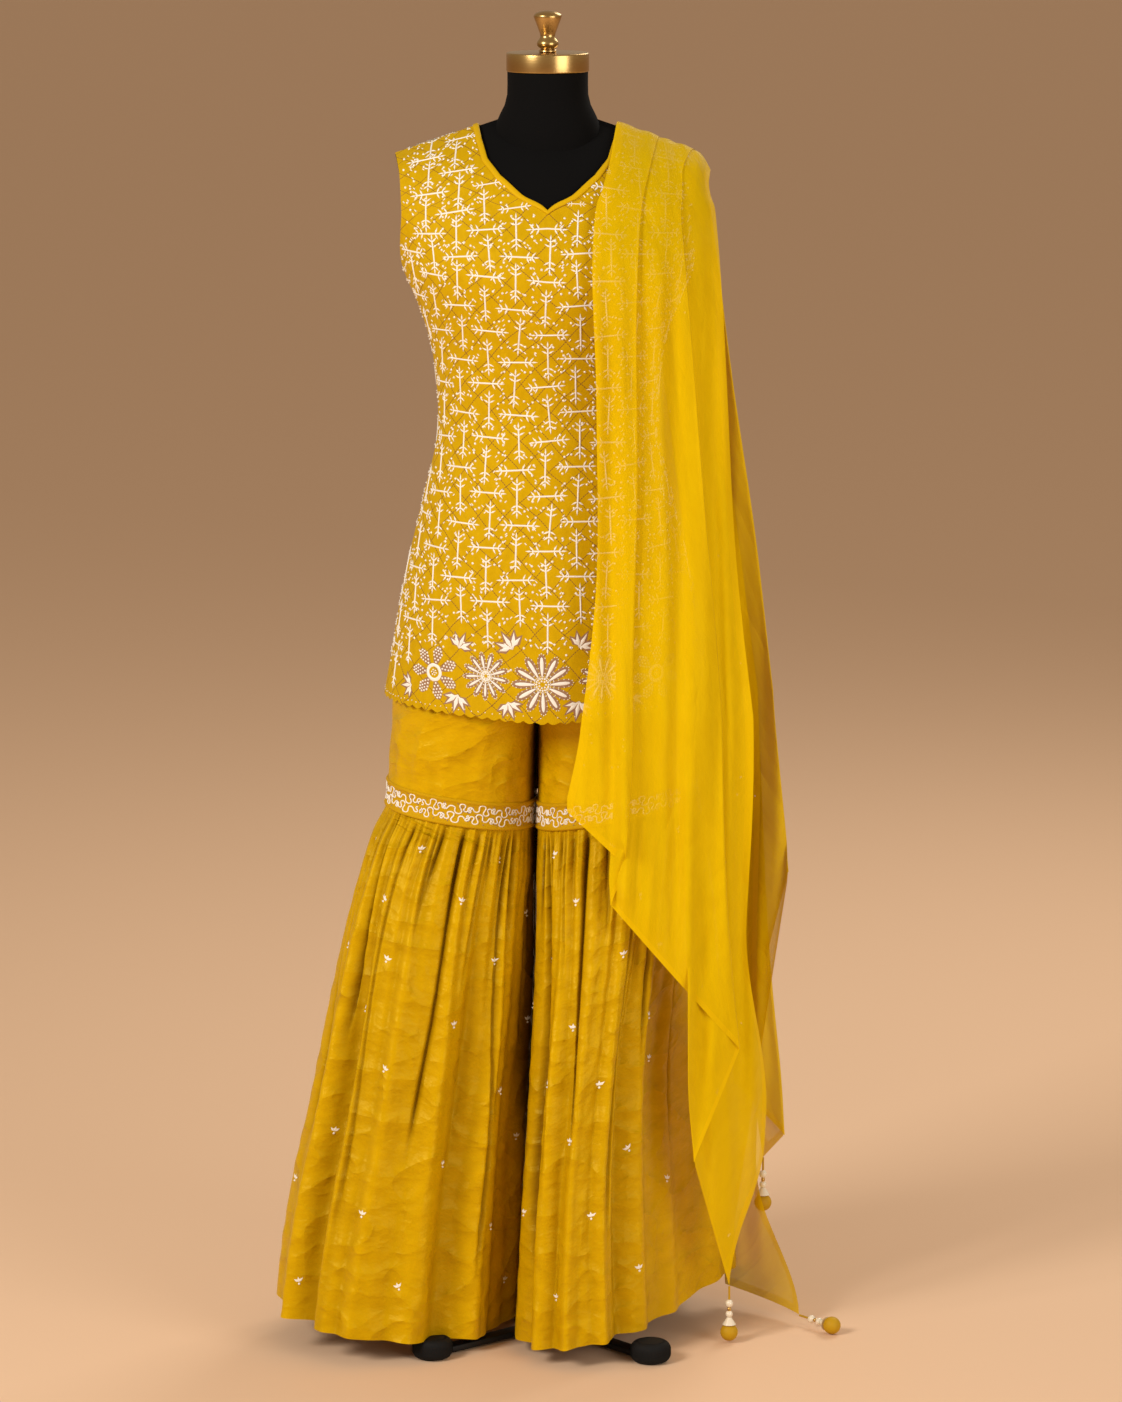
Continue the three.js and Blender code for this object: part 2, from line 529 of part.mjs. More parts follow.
function stand() {
  const top = FORM_TAIL[0].z - SEAM;
  const bottom = HUB.high + SEAM;
  const pole = new THREE.CylinderGeometry(POLE_RADIUS, POLE_RADIUS, top - bottom, 16).rotateX(Math.PI / 2);
  add('pole', pole.translate(0, 0, (top + bottom) / 2), 'metal');
  const hubRadius = HUB.radius / Math.cos(Math.PI / 8);
  const hub = new THREE.CylinderGeometry(hubRadius, hubRadius, HUB.high - HUB.low, 8).rotateX(Math.PI / 2);
  hub.rotateZ(rad(22.5 + FOOT.turn)).translate(0, 0, (HUB.high + HUB.low) / 2);
  add('base_hub', hub, 'metal');
  for (let n = 1; n <= FOOT.count; n++) {
    const angle = rad(45 + FOOT.turn + 90 * (n - 1));
    add(`base_arm_${n}`, armGeometry(angle), 'metal');
    const foot = lathe(FOOT_PROFILE, 14);
    foot.translate(FOOT.reach * Math.cos(angle), FOOT.reach * Math.sin(angle), 0);
    add(`foot_${n}`, foot, 'rubber');
  }
}

// A flat arm from the hub to the side of its foot, low enough to pass under the hems.
function armGeometry(angle) {
  const [w, c] = [ARM.wide / 2, ARM.chamfer];
  const outline = [
    [-w, ARM.low], [w, ARM.low], [w, ARM.high - c], [w - c, ARM.high], [c - w, ARM.high], [-w, ARM.high - c],
  ];
  const ends = [HUB.radius + SEAM, FOOT.reach - FOOT.radius - SEAM];
  const rings = ends.map((out) => outline.map(([side, up]) => v(out, side, up)));
  return stack(rings).rotateZ(angle);
}

// A point of a leg's ring. The angle runs from the outer side, -90 at the front, 90 at the back.
function legPoint(table, z, degrees) {
  const hand = table === LEG_LEFT ? -1 : 1;
  const s = readAt(table, z);
  const [c, d] = [Math.cos(rad(degrees)), Math.sin(rad(degrees))];
  const power = 2 / ROUND;
  const outer = mix(s.outer, s.outerBack, smooth((degrees + 12) / 34));
  const across = c >= 0 ? outer - s.middle : s.middle - s.inner;
  const y = superPower(d, power) * (d < 0 ? s.front : s.back);
  const x = s.middle + superPower(c, power) * across;
  const leaned = x + y * LEAN.share * smooth((LEAN.start - z) / (LEAN.start - LEAN.full));
  return v(leaned, y, z + hand * (x - s.middle) * readAt(TILT, z).rise);
}

const legAngle = (column, columns) => -180 + 360 * (column + 0.5) / columns;

// How far a flare's cloth lies inside its outline: the gathers, and the folds that open downwards.
function flareDepth(folds, column, degrees, z) {
  const trough = column % 2 ? readAt(GATHER, z).deep : 0;
  if (Math.abs(degrees) > POLE_SIDE.from && folds === FOLDS_RIGHT) return Math.min(trough, POLE_SIDE.most);
  const open = smooth((FLARE_ROWS[0] - z) / 330);
  const fold = folds.reduce((sum, f) => {
    const off = Math.abs(((degrees - f.at + 540) % 360) - 180) / f.width;
    return sum + (off < 2 ? f.deep * Math.cos(off * Math.PI / 4) ** 2 : 0);
  }, 0);
  return trough + open * fold;
}

function legGrid(table, rows, columns, inside = () => 0) {
  const points = [];
  for (const z of rows) {
    for (let k = 0; k < columns; k++) {
      const degrees = legAngle(k, columns);
      const p = legPoint(table, z, degrees);
      const [a, b] = [-1, 1].map((step) => legPoint(table, z, degrees + step));
      const outward = v(b.y - a.y, a.x - b.x, 0).normalize();
      if (table === LEG_LEFT) outward.negate();
      points.push(p.addScaledVector(outward, -inside(k, degrees, z)));
    }
  }
  return points;
}

const faceOut = (faces, table) => (table === LEG_LEFT ? faces.map((f) => [...f].reverse()) : faces);

// Points of one half of the trousers: round the body above the crotch, round the leg below it.
function trouserPoint(table, z, k, columns) {
  const hand = table === LEG_LEFT ? -1 : 1;
  const outerCount = columns / 2;
  const seamX = SEAM_X + hand * SEAM / 2;
  if (k > outerCount) {
    const share = (k - outerCount) / (columns - outerCount);
    return legPoint(table, Math.min(z, CROTCH_Z), 90 + 180 * share);
  }
  const legSide = legPoint(table, Math.min(z, CROTCH_Z), -90 + 180 * k / outerCount);
  if (z <= CROTCH_Z) return legSide;
  const s = readAt(SEAT_ROWS, z);
  const turn = Math.acos(Math.min(1, Math.abs(seamX) / s.wide) ** (ROUND / 2));
  const start = -(hand * seamX > 0 ? turn : Math.PI - turn);
  const a = mix(start, -start, k / outerCount);
  const power = 2 / ROUND;
  const body = v(
    hand * s.wide * superPower(Math.cos(a), power),
    superPower(Math.sin(a), power) * (Math.sin(a) < 0 ? s.front : s.back),
    z,
  );
  if (k === 0 || k === outerCount) body.x = seamX;
  return body;
}

function trousers(name, table) {
  const columns = TROUSER_COLUMNS;
  const rows = [...TROUSER_ROWS].reverse();
  const around = Array.from({ length: columns }, (_, k) => k);
  const points = rows.flatMap((z) => around.map((k) => trouserPoint(table, z, k, columns)));
  const keep = (r, c) => rows[r + 1] <= CROTCH_Z || c < columns / 2;
  const faces = faceOut(gridFaces(rows.length, columns, true, keep), table);
  const straighten = (n, p) => {
    if (p.z > CROTCH_Z - 1 && Math.abs(p.x - SEAM_X) < SEAM) n.setX(0);
    if (p.z > TROUSER_ROWS[0] - 1) n.setZ(0);
    return n;
  };
  add(name, wall(points, faces, CLOTH, straighten), 'sharara');
}

function band(name, table) {
  const columns = TROUSER_COLUMNS;
  const rows = [BAND.low, (BAND.low + BAND.high) / 2, BAND.high];
  const points = legGrid(table, rows, columns, () => -0.9);
  const faces = faceOut(gridFaces(rows.length, columns, true), table);
  add(name, wall(points, faces, BAND_CLOTH, (n) => n.setZ(0)), 'band');
}

function flare(name, table, folds) {
  const rows = [...FLARE_ROWS].reverse();
  const inside = (k, degrees, z) => flareDepth(folds, k, degrees, z);
  const points = legGrid(table, rows, LEG_COLUMNS, inside);
  const faces = faceOut(gridFaces(rows.length, LEG_COLUMNS, true), table);
  const straighten = (n, p) => (p.z > BAND.low - 40 ? n.setZ(0) : n);
  add(name, wall(points, faces, FLARE_CLOTH, straighten), 'sharara');
}

function sharara() {
  const w = WAISTBAND;
  const ring = (z) => tailRing({ ...w, z }, 36);
  add('waistband', wall([ring(w.low), ring(w.high)].flat(), gridFaces(2, 36, true), CLOTH), 'sharara');
  trousers('trouser_left', LEG_LEFT);
  trousers('trouser_right', LEG_RIGHT);
  band('knee_band_left', LEG_LEFT);
  band('knee_band_right', LEG_RIGHT);
  flare('flare_left', LEG_LEFT, FOLDS_LEFT);
  flare('flare_right', LEG_RIGHT, FOLDS_RIGHT);
}

// How far a layer's outer points lie from what the scarf rests on. Every other strip shows its wrong
// side, so its thickness lies on the other side of its points.
function layerLift(layer, gap) {
  const at = (n) => SCARF_LEAD + SCARF_CLOTH / 2 + (SCARF_LAYERS - 1 - n) * (SCARF_CLOTH + gap)
    + (n % 2 ? -1 : 1) * SCARF_CLOTH / 2;
  return layer % 1 ? (at(Math.floor(layer)) + at(Math.ceil(layer))) / 2 : at(layer);
}

// Where a layer of the scarf lies at a station: x across, layer 0 outermost, side -1 front or 1 back.
function scarfPoint(station, x, layer, side) {
  const share = Math.min(0.985, Math.abs(x) / station.reach);
  const deep = station.depth * (1 - share ** ROUND) ** (1 / ROUND);
  const lean = rad(station.lean);
  const away = v(0, side * Math.cos(lean), Math.sin(lean));
  const base = v(x, side * deep, station.z + station.slope * x);
  const p = base.addScaledVector(away, layerLift(layer, station.gap));
  if (station.at === 'yoke') p.away = away;
  return p;
}

// One cross row of the scarf: strips joined by small round folds. xs are the lines' places.
function scarfRow(place, xs) {
  const last = xs.length - 1;
  const row = [];
  for (let i = 0; i < last; i++) {
    const toRight = i % 2 === 0 ? 1 : -1;
    const from = xs[i] + (i > 0 ? toRight * FOLD_TURN : 0);
    const to = xs[i + 1] - (i < last - 1 ? toRight * FOLD_TURN : 0);
    for (let k = 0; k <= STRIP_STEPS; k++) row.push(place(mix(from, to, k / STRIP_STEPS), i));
    if (i < last - 1) row.push(place(xs[i + 1], i + 0.5));
  }
  return row;
}

function scarfWall(name, rows, side) {
  const faces = gridFaces(rows.length, rows[0].length);
  const seen = side < 0 ? faces : faces.map((f) => [...f].reverse());
  const straighten = (n, p) => (p.away ? p.away.clone().multiplyScalar(Math.sign(n.dot(p.away))) : n);
  add(name, wall(rows.flat(), seen, SCARF_CLOTH, straighten), 'dupatta');
}

// A hanging stretch: rows at the stations, then rows that fan out to each line's own lower end.
function hangingStretch(name, lines, stations, side, tipPull) {
  const rows = stations.map((station) => (
    scarfRow((x, layer) => scarfPoint(station, x, layer, side), lines.map((l) => l[station.at]))
  ));
  const last = stations.at(-1);
  for (const share of [0.3, 0.6, 0.85, 1]) {
    const xs = lines.map((l) => mix(l.hem, l.tipX, share ** 1.3));
    const place = (x, layer) => {
      const n = Math.min(lines.length - 2, Math.floor(layer));
      const across = layer % 1 ? 1 : clamp01((x - xs[n]) / (xs[n + 1] - xs[n]));
      const p = scarfPoint(last, x, layer, side);
      p.z = mix(last.z, mix(lines[n].tipZ, lines[n + 1].tipZ, across), share);
      if (n === lines.length - 2) p.y += tipPull * share ** 2 * across;
      return p;
    };
    rows.push(scarfRow(place, xs));
  }
  scarfWall(name, rows.reverse(), side);
  return { inner: rows[0][0], outer: rows[0].at(-1) };
}

// The stretch over the shoulder, from the top of the front one to the top of the back one.
function shoulderStretch() {
  const [frontTop, backTop] = [FRONT_STATIONS[0], BACK_STATIONS[0]];
  const joints = [
    { ...frontTop, side: -1 }, ...RIDGE_STATIONS, { ...backTop, side: 1 },
  ];
  const [frontXs, backXs] = [SCARF_FRONT, SCARF_BACK].map((lines) => lines.map((l) => l.yoke));
  const rows = joints.map((station, i) => {
    const toRidge = Math.abs(i - 2) / 2;
    const ends = i < 2 ? frontXs : backXs;
    const xs = SCARF_RIDGE.map((x, n) => mix(x, ends[n], toRidge));
    return scarfRow((x, layer) => {
      const p = scarfPoint(station, x, layer, station.side);
      if (p.away) p.add(v(0, -station.side * p.away.z, Math.abs(p.away.y)).multiplyScalar(SEAM));
      return p;
    }, xs);
  });
  scarfWall('dupatta_shoulder', rows, -1);
}

// Tassels hang from two corners of the scarf, and a third lies on the floor beside the back stretch.
function scarf() {
  const front = hangingStretch('dupatta_front', SCARF_FRONT, FRONT_STATIONS, -1, 36);
  shoulderStretch();
  const back = hangingStretch('dupatta_back', SCARF_BACK, BACK_STATIONS, 1, -34);
  const hung = lathe([...TASSEL].reverse(), 8);
  const half = SCARF_CLOTH / 2;
  const [a, b, c] = [front.outer, back.inner, back.outer];
  add('tassel_front', hung.clone().translate(a.x, a.y + half, a.z - SEAM), 'tassel');
  add('tassel_back', hung.clone().translate(b.x, b.y - half, b.z - SEAM), 'tassel');
  const lying = hung.clone().rotateX(rad(-90)).rotateZ(rad(TASSEL_LYING.turn));
  add('tassel_floor', lying.translate(c.x + TASSEL_LYING.x, c.y + TASSEL_LYING.y, TASSEL_LYING.z), 'tassel');
}

dressForm();
stand();
kurtiPanel('kurti_front', KURTI_FRONT, -1);
kurtiPanel('kurti_back', KURTI_BACK, 1);
neckBinding();
sharara();
scarf();

const extent = new THREE.Box3().setFromObject(group);
const middle = extent.getCenter(v(0, 0, 0));
group.position.set(-middle.x, -middle.y, -extent.min.z);

export default group;
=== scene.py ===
import math
import bpy
import bmesh
import numpy as np
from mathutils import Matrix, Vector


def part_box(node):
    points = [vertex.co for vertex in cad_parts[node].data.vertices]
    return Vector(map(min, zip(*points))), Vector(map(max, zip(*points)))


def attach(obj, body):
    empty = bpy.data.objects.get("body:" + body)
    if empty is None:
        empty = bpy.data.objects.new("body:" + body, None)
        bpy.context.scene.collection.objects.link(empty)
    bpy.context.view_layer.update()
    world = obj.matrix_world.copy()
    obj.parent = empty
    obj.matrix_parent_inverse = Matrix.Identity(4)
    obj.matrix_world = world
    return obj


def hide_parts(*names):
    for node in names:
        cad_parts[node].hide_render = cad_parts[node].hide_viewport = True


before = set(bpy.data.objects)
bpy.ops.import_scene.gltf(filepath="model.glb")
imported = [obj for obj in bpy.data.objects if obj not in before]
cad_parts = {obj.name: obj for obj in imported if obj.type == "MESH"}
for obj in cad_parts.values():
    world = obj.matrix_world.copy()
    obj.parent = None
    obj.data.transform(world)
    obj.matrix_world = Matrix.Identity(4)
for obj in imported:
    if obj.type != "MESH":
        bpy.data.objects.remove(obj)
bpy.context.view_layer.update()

# The dress form: a padded torso under black jersey, seen at the neck, in the neckline and in the armholes.
# The kurti's cut is its outline, so the torso takes the kurti's rows, each moved in by its inset.
pole_low, pole_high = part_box("pole")
AXIS = np.array([(pole_low.x + pole_high.x) / 2, (pole_low.y + pole_high.y) / 2, 0])
ROUND = 2.2
HALF_SEAM = 0.15
# Rows from the hem up to the shoulder, in millimetres: height and slope, depths in front and behind, half
# widths of the body and of the cut cloth, half widths of the neck, and how far the form lies inside.
KURTI = {
    "z": [757, 835, 890, 940, 1010, 1068, 1115, 1175, 1215, 1258, 1298, 1343, 1363, 1390, 1411, 1438, 1461],
    "slope": [.08, .04, .02, 0, 0, 0, 0, 0, .02, .05, -.03, -.08, -.111, -.171, -.184, -.255, -.34],
    "front": [130, 124, 121, 117, 108, 100, 97, 108, 120, 128, 121, 97, 87, 72, 52, 26, 0],
    "back": [128, 124, 122, 116, 104, 90, 86, 93, 99, 104, 105, 95, 89, 76, 58, 30, 0],
    "reach": [191, 179, 170, 160, 143, 129.5, 127.5, 134, 146, 166, 174, 192, 199, 203, 208, 218, 220],
    "edge": [191, 179, 170, 160, 143, 129.5, 127.5, 134, 146, 166, 169.5, 167.5, 167.5, 168.5, 170, 173,
             175.5],
    "frontNeck": [0, 0, 0, 0, 0, 0, 0, 0, 0, 0, 0, 0, 29, 54, 69, 76, 80],
    "backNeck": [0, 0, 0, 0, 0, 0, 0, 0, 0, 0, 0, 0, 0, 0, 38, 66, 80],
    "inset": [40, 36, 22, 16, 13, 11, 11, 10, 9, 7, 4, 3.4, 3.4, 3.4, 3.2, 2.8, 2],
}
ROWS = len(KURTI["z"])
# Height, half width and depths of the form below the kurti's rows, and of its neck.
HIPS = ((812, 118, 80, 84), (830, 130, 88, 93), (850, 138, 94, 99), (895, 143, 100, 104))
NECK = ((1380, 52, 46), (1405, 60, 50), (1424, 62, 51), (1436, 59, 51), (1446, 54.6, 49.6),
        (1456, 49.5, 48.2), (1468, 46.6, 46.6), (1480, 46.3, 46.3), (1494, 46.4, 46.4))


def curve(knots, values, at):
    """Smooth curve through the values at the knots, read at the places asked."""
    knots, values, at = (np.asarray(a, float) for a in (knots, values, at))
    if knots[0] > knots[-1]:
        knots, values = knots[::-1], values[::-1]
    slopes = np.empty_like(values)
    slopes[1:-1] = (values[2:] - values[:-2]) / (knots[2:] - knots[:-2])
    slopes[0] = (values[1] - values[0]) / (knots[1] - knots[0])
    slopes[-1] = (values[-1] - values[-2]) / (knots[-1] - knots[-2])
    i = np.clip(np.searchsorted(knots, at) - 1, 0, len(knots) - 2)
    span = knots[i + 1] - knots[i]
    t = np.clip((at - knots[i]) / span, 0, 1)
    return (values[i] * (2 * t**3 - 3 * t**2 + 1) + values[i + 1] * (3 * t**2 - 2 * t**3)
            + slopes[i] * span * (t**3 - 2 * t**2 + t) + slopes[i + 1] * span * (t**3 - t**2))


def smooth(t):
    """Eases from 0 to 1 as t goes from 0 to 1."""
    t = np.clip(t, 0, 1)
    return t * t * (3 - 2 * t)


def body_rows(at):
    """The kurti's rows, read at places between the listed ones. Each neck edge begins at a row of its own."""
    rows = {k: curve(range(ROWS), v, at) for k, v in KURTI.items() if "Neck" not in k}
    for k, first in (("frontNeck", 11), ("backNeck", 13)):
        knots, values = range(first, ROWS), KURTI[k][first:]
        rows[k] = np.where(at > first, np.maximum(curve(knots, values, at), 0), 0)
    return rows


def arc(x, reach, depth):
    """How far out the round body is at a half width x, for its reach and depth."""
    share = np.clip(x / reach, 0, 1)
    return depth * (1 - share**ROUND) ** (1 / ROUND)


def mesh_piece(name, points, faces, material, **values):
    """Mesh of points in millimetres about the form's axis, smooth shaded, riding on the frame."""
    mesh = bpy.data.meshes.new(name)
    faces = [list(map(int, face)) for face in faces]
    mesh.from_pydata((np.reshape(points, (-1, 3)) / 1000 + AXIS).tolist(), [], faces)
    for key, value in values.items():
        value = np.asarray(value, float)
        if value.size == len(mesh.vertices):
            layer = mesh.attributes.new(key, "FLOAT", "POINT")
            layer.data.foreach_set("value", value.ravel())
        else:
            layer = mesh.attributes.new(key, "FLOAT_VECTOR", "POINT")
            layer.data.foreach_set("vector", value.ravel())
    mesh.polygons.foreach_set("use_smooth", [True] * len(mesh.polygons))
    mesh.materials.append(material)
    piece = bpy.data.objects.new(name, mesh)
    bpy.context.collection.objects.link(piece)
    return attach(piece, "root")


def grid_faces(rows, columns, closed=False, turned=False):
    """Four-sided faces between rows of points. Closed joins the last column to the first."""
    r, c = np.meshgrid(np.arange(rows - 1), np.arange(columns if closed else columns - 1), indexing="ij")
    d = (c + 1) % columns
    quads = np.stack([r * columns + c, r * columns + d, (r + 1) * columns + d, (r + 1) * columns + c], -1)
    quads = quads.reshape(-1, 4)
    return quads[:, ::-1] if turned else quads


def material(name, colour, **inputs):
    """A material of one shader, with its constants named as the sockets are."""
    made = bpy.data.materials.new(name)
    made.use_nodes = True
    shader = made.node_tree.nodes["Principled BSDF"]
    shader.inputs["Base Color"].default_value = (*colour, 1)
    for key, value in inputs.items():
        shader.inputs[key.replace("_", " ")].default_value = value
    made.diffuse_color = (*colour, 1)
    return made


TORSO_ROWS, TORSO_COLUMNS, FIRST_TORSO_ROW = 66, 26, 3
jersey = material("jersey", (0.003, 0.003, 0.0032), Roughness=1.0, Specular_IOR_Level=0.12)
rows = body_rows(np.linspace(FIRST_TORSO_ROW, ROWS - 1, TORSO_ROWS))
down = rows["inset"] * (1 - np.clip(rows["front"] / 120, 0, 1))
turn = np.linspace(0, math.pi / 2, TORSO_COLUMNS)
reach = rows["reach"] - rows["inset"]
edge = np.where(rows["edge"] < rows["reach"] - 1e-6, rows["edge"], reach)
ring = np.minimum(reach[:, None] * np.sin(turn) ** (2 / ROUND), edge[:, None])
halves = []
for side, key in ((-1, "front"), (1, "back")):
    depth = np.maximum(rows[key] - rows["inset"], 0)
    y = side * (HALF_SEAM + arc(ring, reach[:, None], depth[:, None]))
    half = np.stack([ring, y, (rows["z"] - down)[:, None] + rows["slope"][:, None] * ring], -1)
    halves.append(half if side < 0 else half[:, ::-1])
right = np.concatenate(halves, 1)
left = right[:, 1:-1][:, ::-1] * [-1, 1, 1]
torso = np.concatenate([right, left], 1)
hips = []
for z, wide, front, back in HIPS:
    ring_x, ring_y = torso[0, :, 0] / torso[0, :, 0].max(), torso[0, :, 1]
    ring_y = np.where(ring_y < 0, ring_y / -ring_y.min() * front, ring_y / ring_y.max() * back)
    hips.append(np.stack([ring_x * wide, ring_y, np.full_like(ring_x, z)], -1))
torso = np.concatenate([np.array(hips), torso])
turn = np.linspace(0, 2 * math.pi, torso.shape[1], endpoint=False)
neck = []
for z, wide, deep in NECK:
    neck.append(np.stack([wide * np.sin(turn), -deep * np.cos(turn), np.full_like(turn, z)], -1))
count = torso.shape[1]
faces = np.concatenate([
    grid_faces(len(torso), count, closed=True),
    grid_faces(len(neck), count, closed=True) + len(torso) * count,
])
points = np.concatenate([torso.reshape(-1, 3), np.reshape(neck, (-1, 3)), [torso[0].mean(0)]])
closing = [[len(points) - 1, (c + 1) % count, c] for c in range(count)]
form = mesh_piece("form", points, faces.tolist() + closing, jersey)
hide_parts("form_torso")

# Neck cap and finial: a spun brass lid on the neck and a turned brass knob with a cup top, both lacquered.
# The knob is one profile turned on a lathe; the cap is a shallow drum with rounded rims.
CAP_RADIUS, CAP_RIM = 0.0475, 0.0016
KNOB_GAP = 0.3


def add_node(tree, kind, sockets, **settings):
    """Adds a shader node. Each socket takes a constant or the output of another node."""
    added = tree.nodes.new(kind)
    for key, value in settings.items():
        setattr(added, key, value)
    for key, value in sockets.items():
        if isinstance(value, bpy.types.NodeSocket):
            tree.links.new(value, added.inputs[key])
        else:
            added.inputs[key].default_value = value
    return added


def feed(made, socket, output):
    """Links an output to a socket of the material's own shader."""
    made.node_tree.links.new(output, made.node_tree.nodes["Principled BSDF"].inputs[socket])


def round_rims(name, width, segments):
    """Puts the new piece's place in its mesh, bevels its sharp rims and shades it smooth."""
    piece = bpy.context.object
    piece.name = name
    bpy.ops.object.transform_apply(location=True, rotation=True, scale=True)
    rim = piece.modifiers.new("rim", "BEVEL")
    rim.width, rim.segments, rim.limit_method = width, segments, "ANGLE"
    bpy.ops.object.modifier_apply(modifier="rim")
    bpy.ops.object.shade_smooth_by_angle(angle=math.radians(35))
    return piece


brass = material("brass", (0.50, 0.33, 0.12), Roughness=0.27, Metallic=1.0)
where = add_node(brass.node_tree, "ShaderNodeTexCoord", {})
place = add_node(brass.node_tree, "ShaderNodeMapping", {
    "Vector": where.outputs["Object"], "Scale": (0.2, 0.2, 12)})
turned = add_node(brass.node_tree, "ShaderNodeTexNoise", {"Vector": place.outputs["Vector"], "Scale": 60})
lines = add_node(brass.node_tree, "ShaderNodeBump", {
    "Height": turned.outputs["Fac"], "Strength": 0.08, "Distance": 0.0004})
feed(brass, "Normal", lines.outputs["Normal"])
bpy.ops.object.select_all(action="DESELECT")
low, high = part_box("neck_cap")
bpy.ops.mesh.primitive_cylinder_add(
    vertices=96, radius=CAP_RADIUS, depth=high.z - low.z, end_fill_type="NGON",
    location=(AXIS[0], AXIS[1], (low.z + high.z) / 2))
cap = round_rims("neck_cap_brass", CAP_RIM, 4)
cap.data.materials.append(brass)
# The knob's half width and height, from its foot up.
PROFILE = [
    (0, 0), (9.4, 0), (10.4, 1), (10.2, 2.2), (8.3, 3.6), (8.4, 4.4), (10.4, 5.4), (12.1, 7.6), (12.5, 9.8),
    (12.1, 12), (10.6, 14.2), (8.9, 16.6), (8.5, 18.8), (8.9, 21), (10.2, 24.4), (12.2, 30), (14.4, 35.4),
    (15.9, 39.8), (16.1, 41.6), (15.4, 43.2), (13, 44.9), (9.4, 46.3), (5, 47.2), (0, 47.6),
]
mesh = bpy.data.meshes.new("finial_brass")
mesh.from_pydata([(AXIS[0] + r / 1000, AXIS[1], high.z + (z + KNOB_GAP) / 1000) for r, z in PROFILE],
                 [(i, i + 1) for i in range(len(PROFILE) - 1)], [])
finial = bpy.data.objects.new("finial_brass", mesh)
bpy.context.collection.objects.link(finial)
bpy.ops.object.select_all(action="DESELECT")
finial.select_set(True)
bpy.context.view_layer.objects.active = finial
bpy.ops.object.mode_set(mode="EDIT")
bpy.ops.mesh.select_all(action="SELECT")
bpy.ops.mesh.spin(steps=64, angle=2 * math.pi, center=(AXIS[0], AXIS[1], 0), axis=(0, 0, 1))
bpy.ops.mesh.select_all(action="SELECT")
bpy.ops.mesh.remove_doubles(threshold=0.00002)
bpy.ops.mesh.normals_make_consistent(inside=False)
bpy.ops.object.mode_set(mode="OBJECT")
bpy.ops.object.shade_smooth_by_angle(angle=math.radians(40))
finial.data.materials.append(brass)
for piece, node in ((cap, "neck_cap"), (finial, "finial")):
    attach(piece, "root")
    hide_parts(node)

# The stand: a steel pole in a short hub, four flat arms and round rubber feet, all black.
# The hems hide it from the front, but for the two front feet and the ends of their arms.
POLE_RADIUS, HUB_RADIUS, FOOT_RADIUS = 0.008, 0.019, 0.0228
FOOT_REACH, ARM_WIDTH, STEEL_RIM, FOOT_ROUND = 0.181, 0.018, 0.0015, 0.0085
ARM_LENGTH = FOOT_REACH - HUB_RADIUS - 0.0236
STAND_TURN = -3.5
paint = material("black_paint", (0.004, 0.004, 0.0042), Roughness=0.55, Specular_IOR_Level=0.3)
rubber = material("foot_rubber", (0.004, 0.004, 0.004), Roughness=0.75, Specular_IOR_Level=0.25)
for node in ("pole", "base_hub", "base_arm_1", "base_arm_2", "base_arm_3", "base_arm_4"):
    low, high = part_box(node)
    centre, tall = (low + high) / 2, high.z - low.z
    bpy.ops.object.select_all(action="DESELECT")
    if node == "pole":
        bpy.ops.mesh.primitive_cylinder_add(vertices=48, radius=POLE_RADIUS, depth=tall, location=centre)
    elif node == "base_hub":
        bpy.ops.mesh.primitive_cylinder_add(vertices=64, radius=HUB_RADIUS, depth=tall, location=centre)
    else:
        bpy.ops.mesh.primitive_cube_add(size=1, location=centre)
        bpy.context.object.scale = (ARM_LENGTH, ARM_WIDTH, tall)
        quarter = int(node[-1]) - 1
        bpy.context.object.rotation_euler = (0, 0, math.radians(45 + STAND_TURN + 90 * quarter))
    piece = round_rims(node + "_steel", STEEL_RIM, 3)
    piece.data.materials.append(paint)
    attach(piece, "root")
    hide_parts(node)
for n in range(1, 5):
    low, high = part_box(f"foot_{n}")
    bpy.ops.object.select_all(action="DESELECT")
    bpy.ops.mesh.primitive_cylinder_add(
        vertices=64, radius=FOOT_RADIUS, depth=high.z - low.z, location=(low + high) / 2)
    piece = bpy.context.object
    piece.name = f"foot_{n}_rubber"
    bpy.ops.object.transform_apply(location=True, rotation=True, scale=True)
    bpy.ops.object.mode_set(mode="EDIT")
    bpy.ops.mesh.select_all(action="SELECT")
    bpy.ops.mesh.bevel(offset=FOOT_ROUND, segments=6, affect="EDGES")
    bpy.ops.object.mode_set(mode="OBJECT")
    bpy.ops.object.shade_smooth_by_angle(angle=math.radians(50))
    piece.data.materials.append(rubber)
    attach(piece, "root")
    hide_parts(f"foot_{n}")

# The kurti: two A-line panels of slub silk joined at the sides and shoulders, cut to a V neck and
# scalloped along the hem. A thin bias binding runs round the neck.
# The glints on silk take the colour of its dye.
SILK_SHINE = (1, 0.72, 0.12, 1)
SCALLOP_WIDE, SCALLOP_DEEP, WAIST_Z = 14, 3.4, 1110
cloth_noise = bpy.data.node_groups.new("cloth_noise", "ShaderNodeTree")
for name, kind in (("Scale", "Float"), ("Stretch", "Vector"), ("Depth", "Float"), ("Creases", "Float")):
    cloth_noise.interface.new_socket(name, in_out="INPUT", socket_type=f"NodeSocket{kind}")
for name, kind in (("Fac", "Float"), ("Normal", "Vector")):
    cloth_noise.interface.new_socket(name, in_out="OUTPUT", socket_type=f"NodeSocket{kind}")


def attribute(tree, name, output="Fac"):
    """A value that the mesh holds at each point."""
    return add_node(tree, "ShaderNodeAttribute", {}, attribute_name=name).outputs[output]


def work(tree, operation, *values):
    """The outcome of a Math node on constants and outputs."""
    return add_node(tree, "ShaderNodeMath", dict(enumerate(values)), operation=operation).outputs[0]


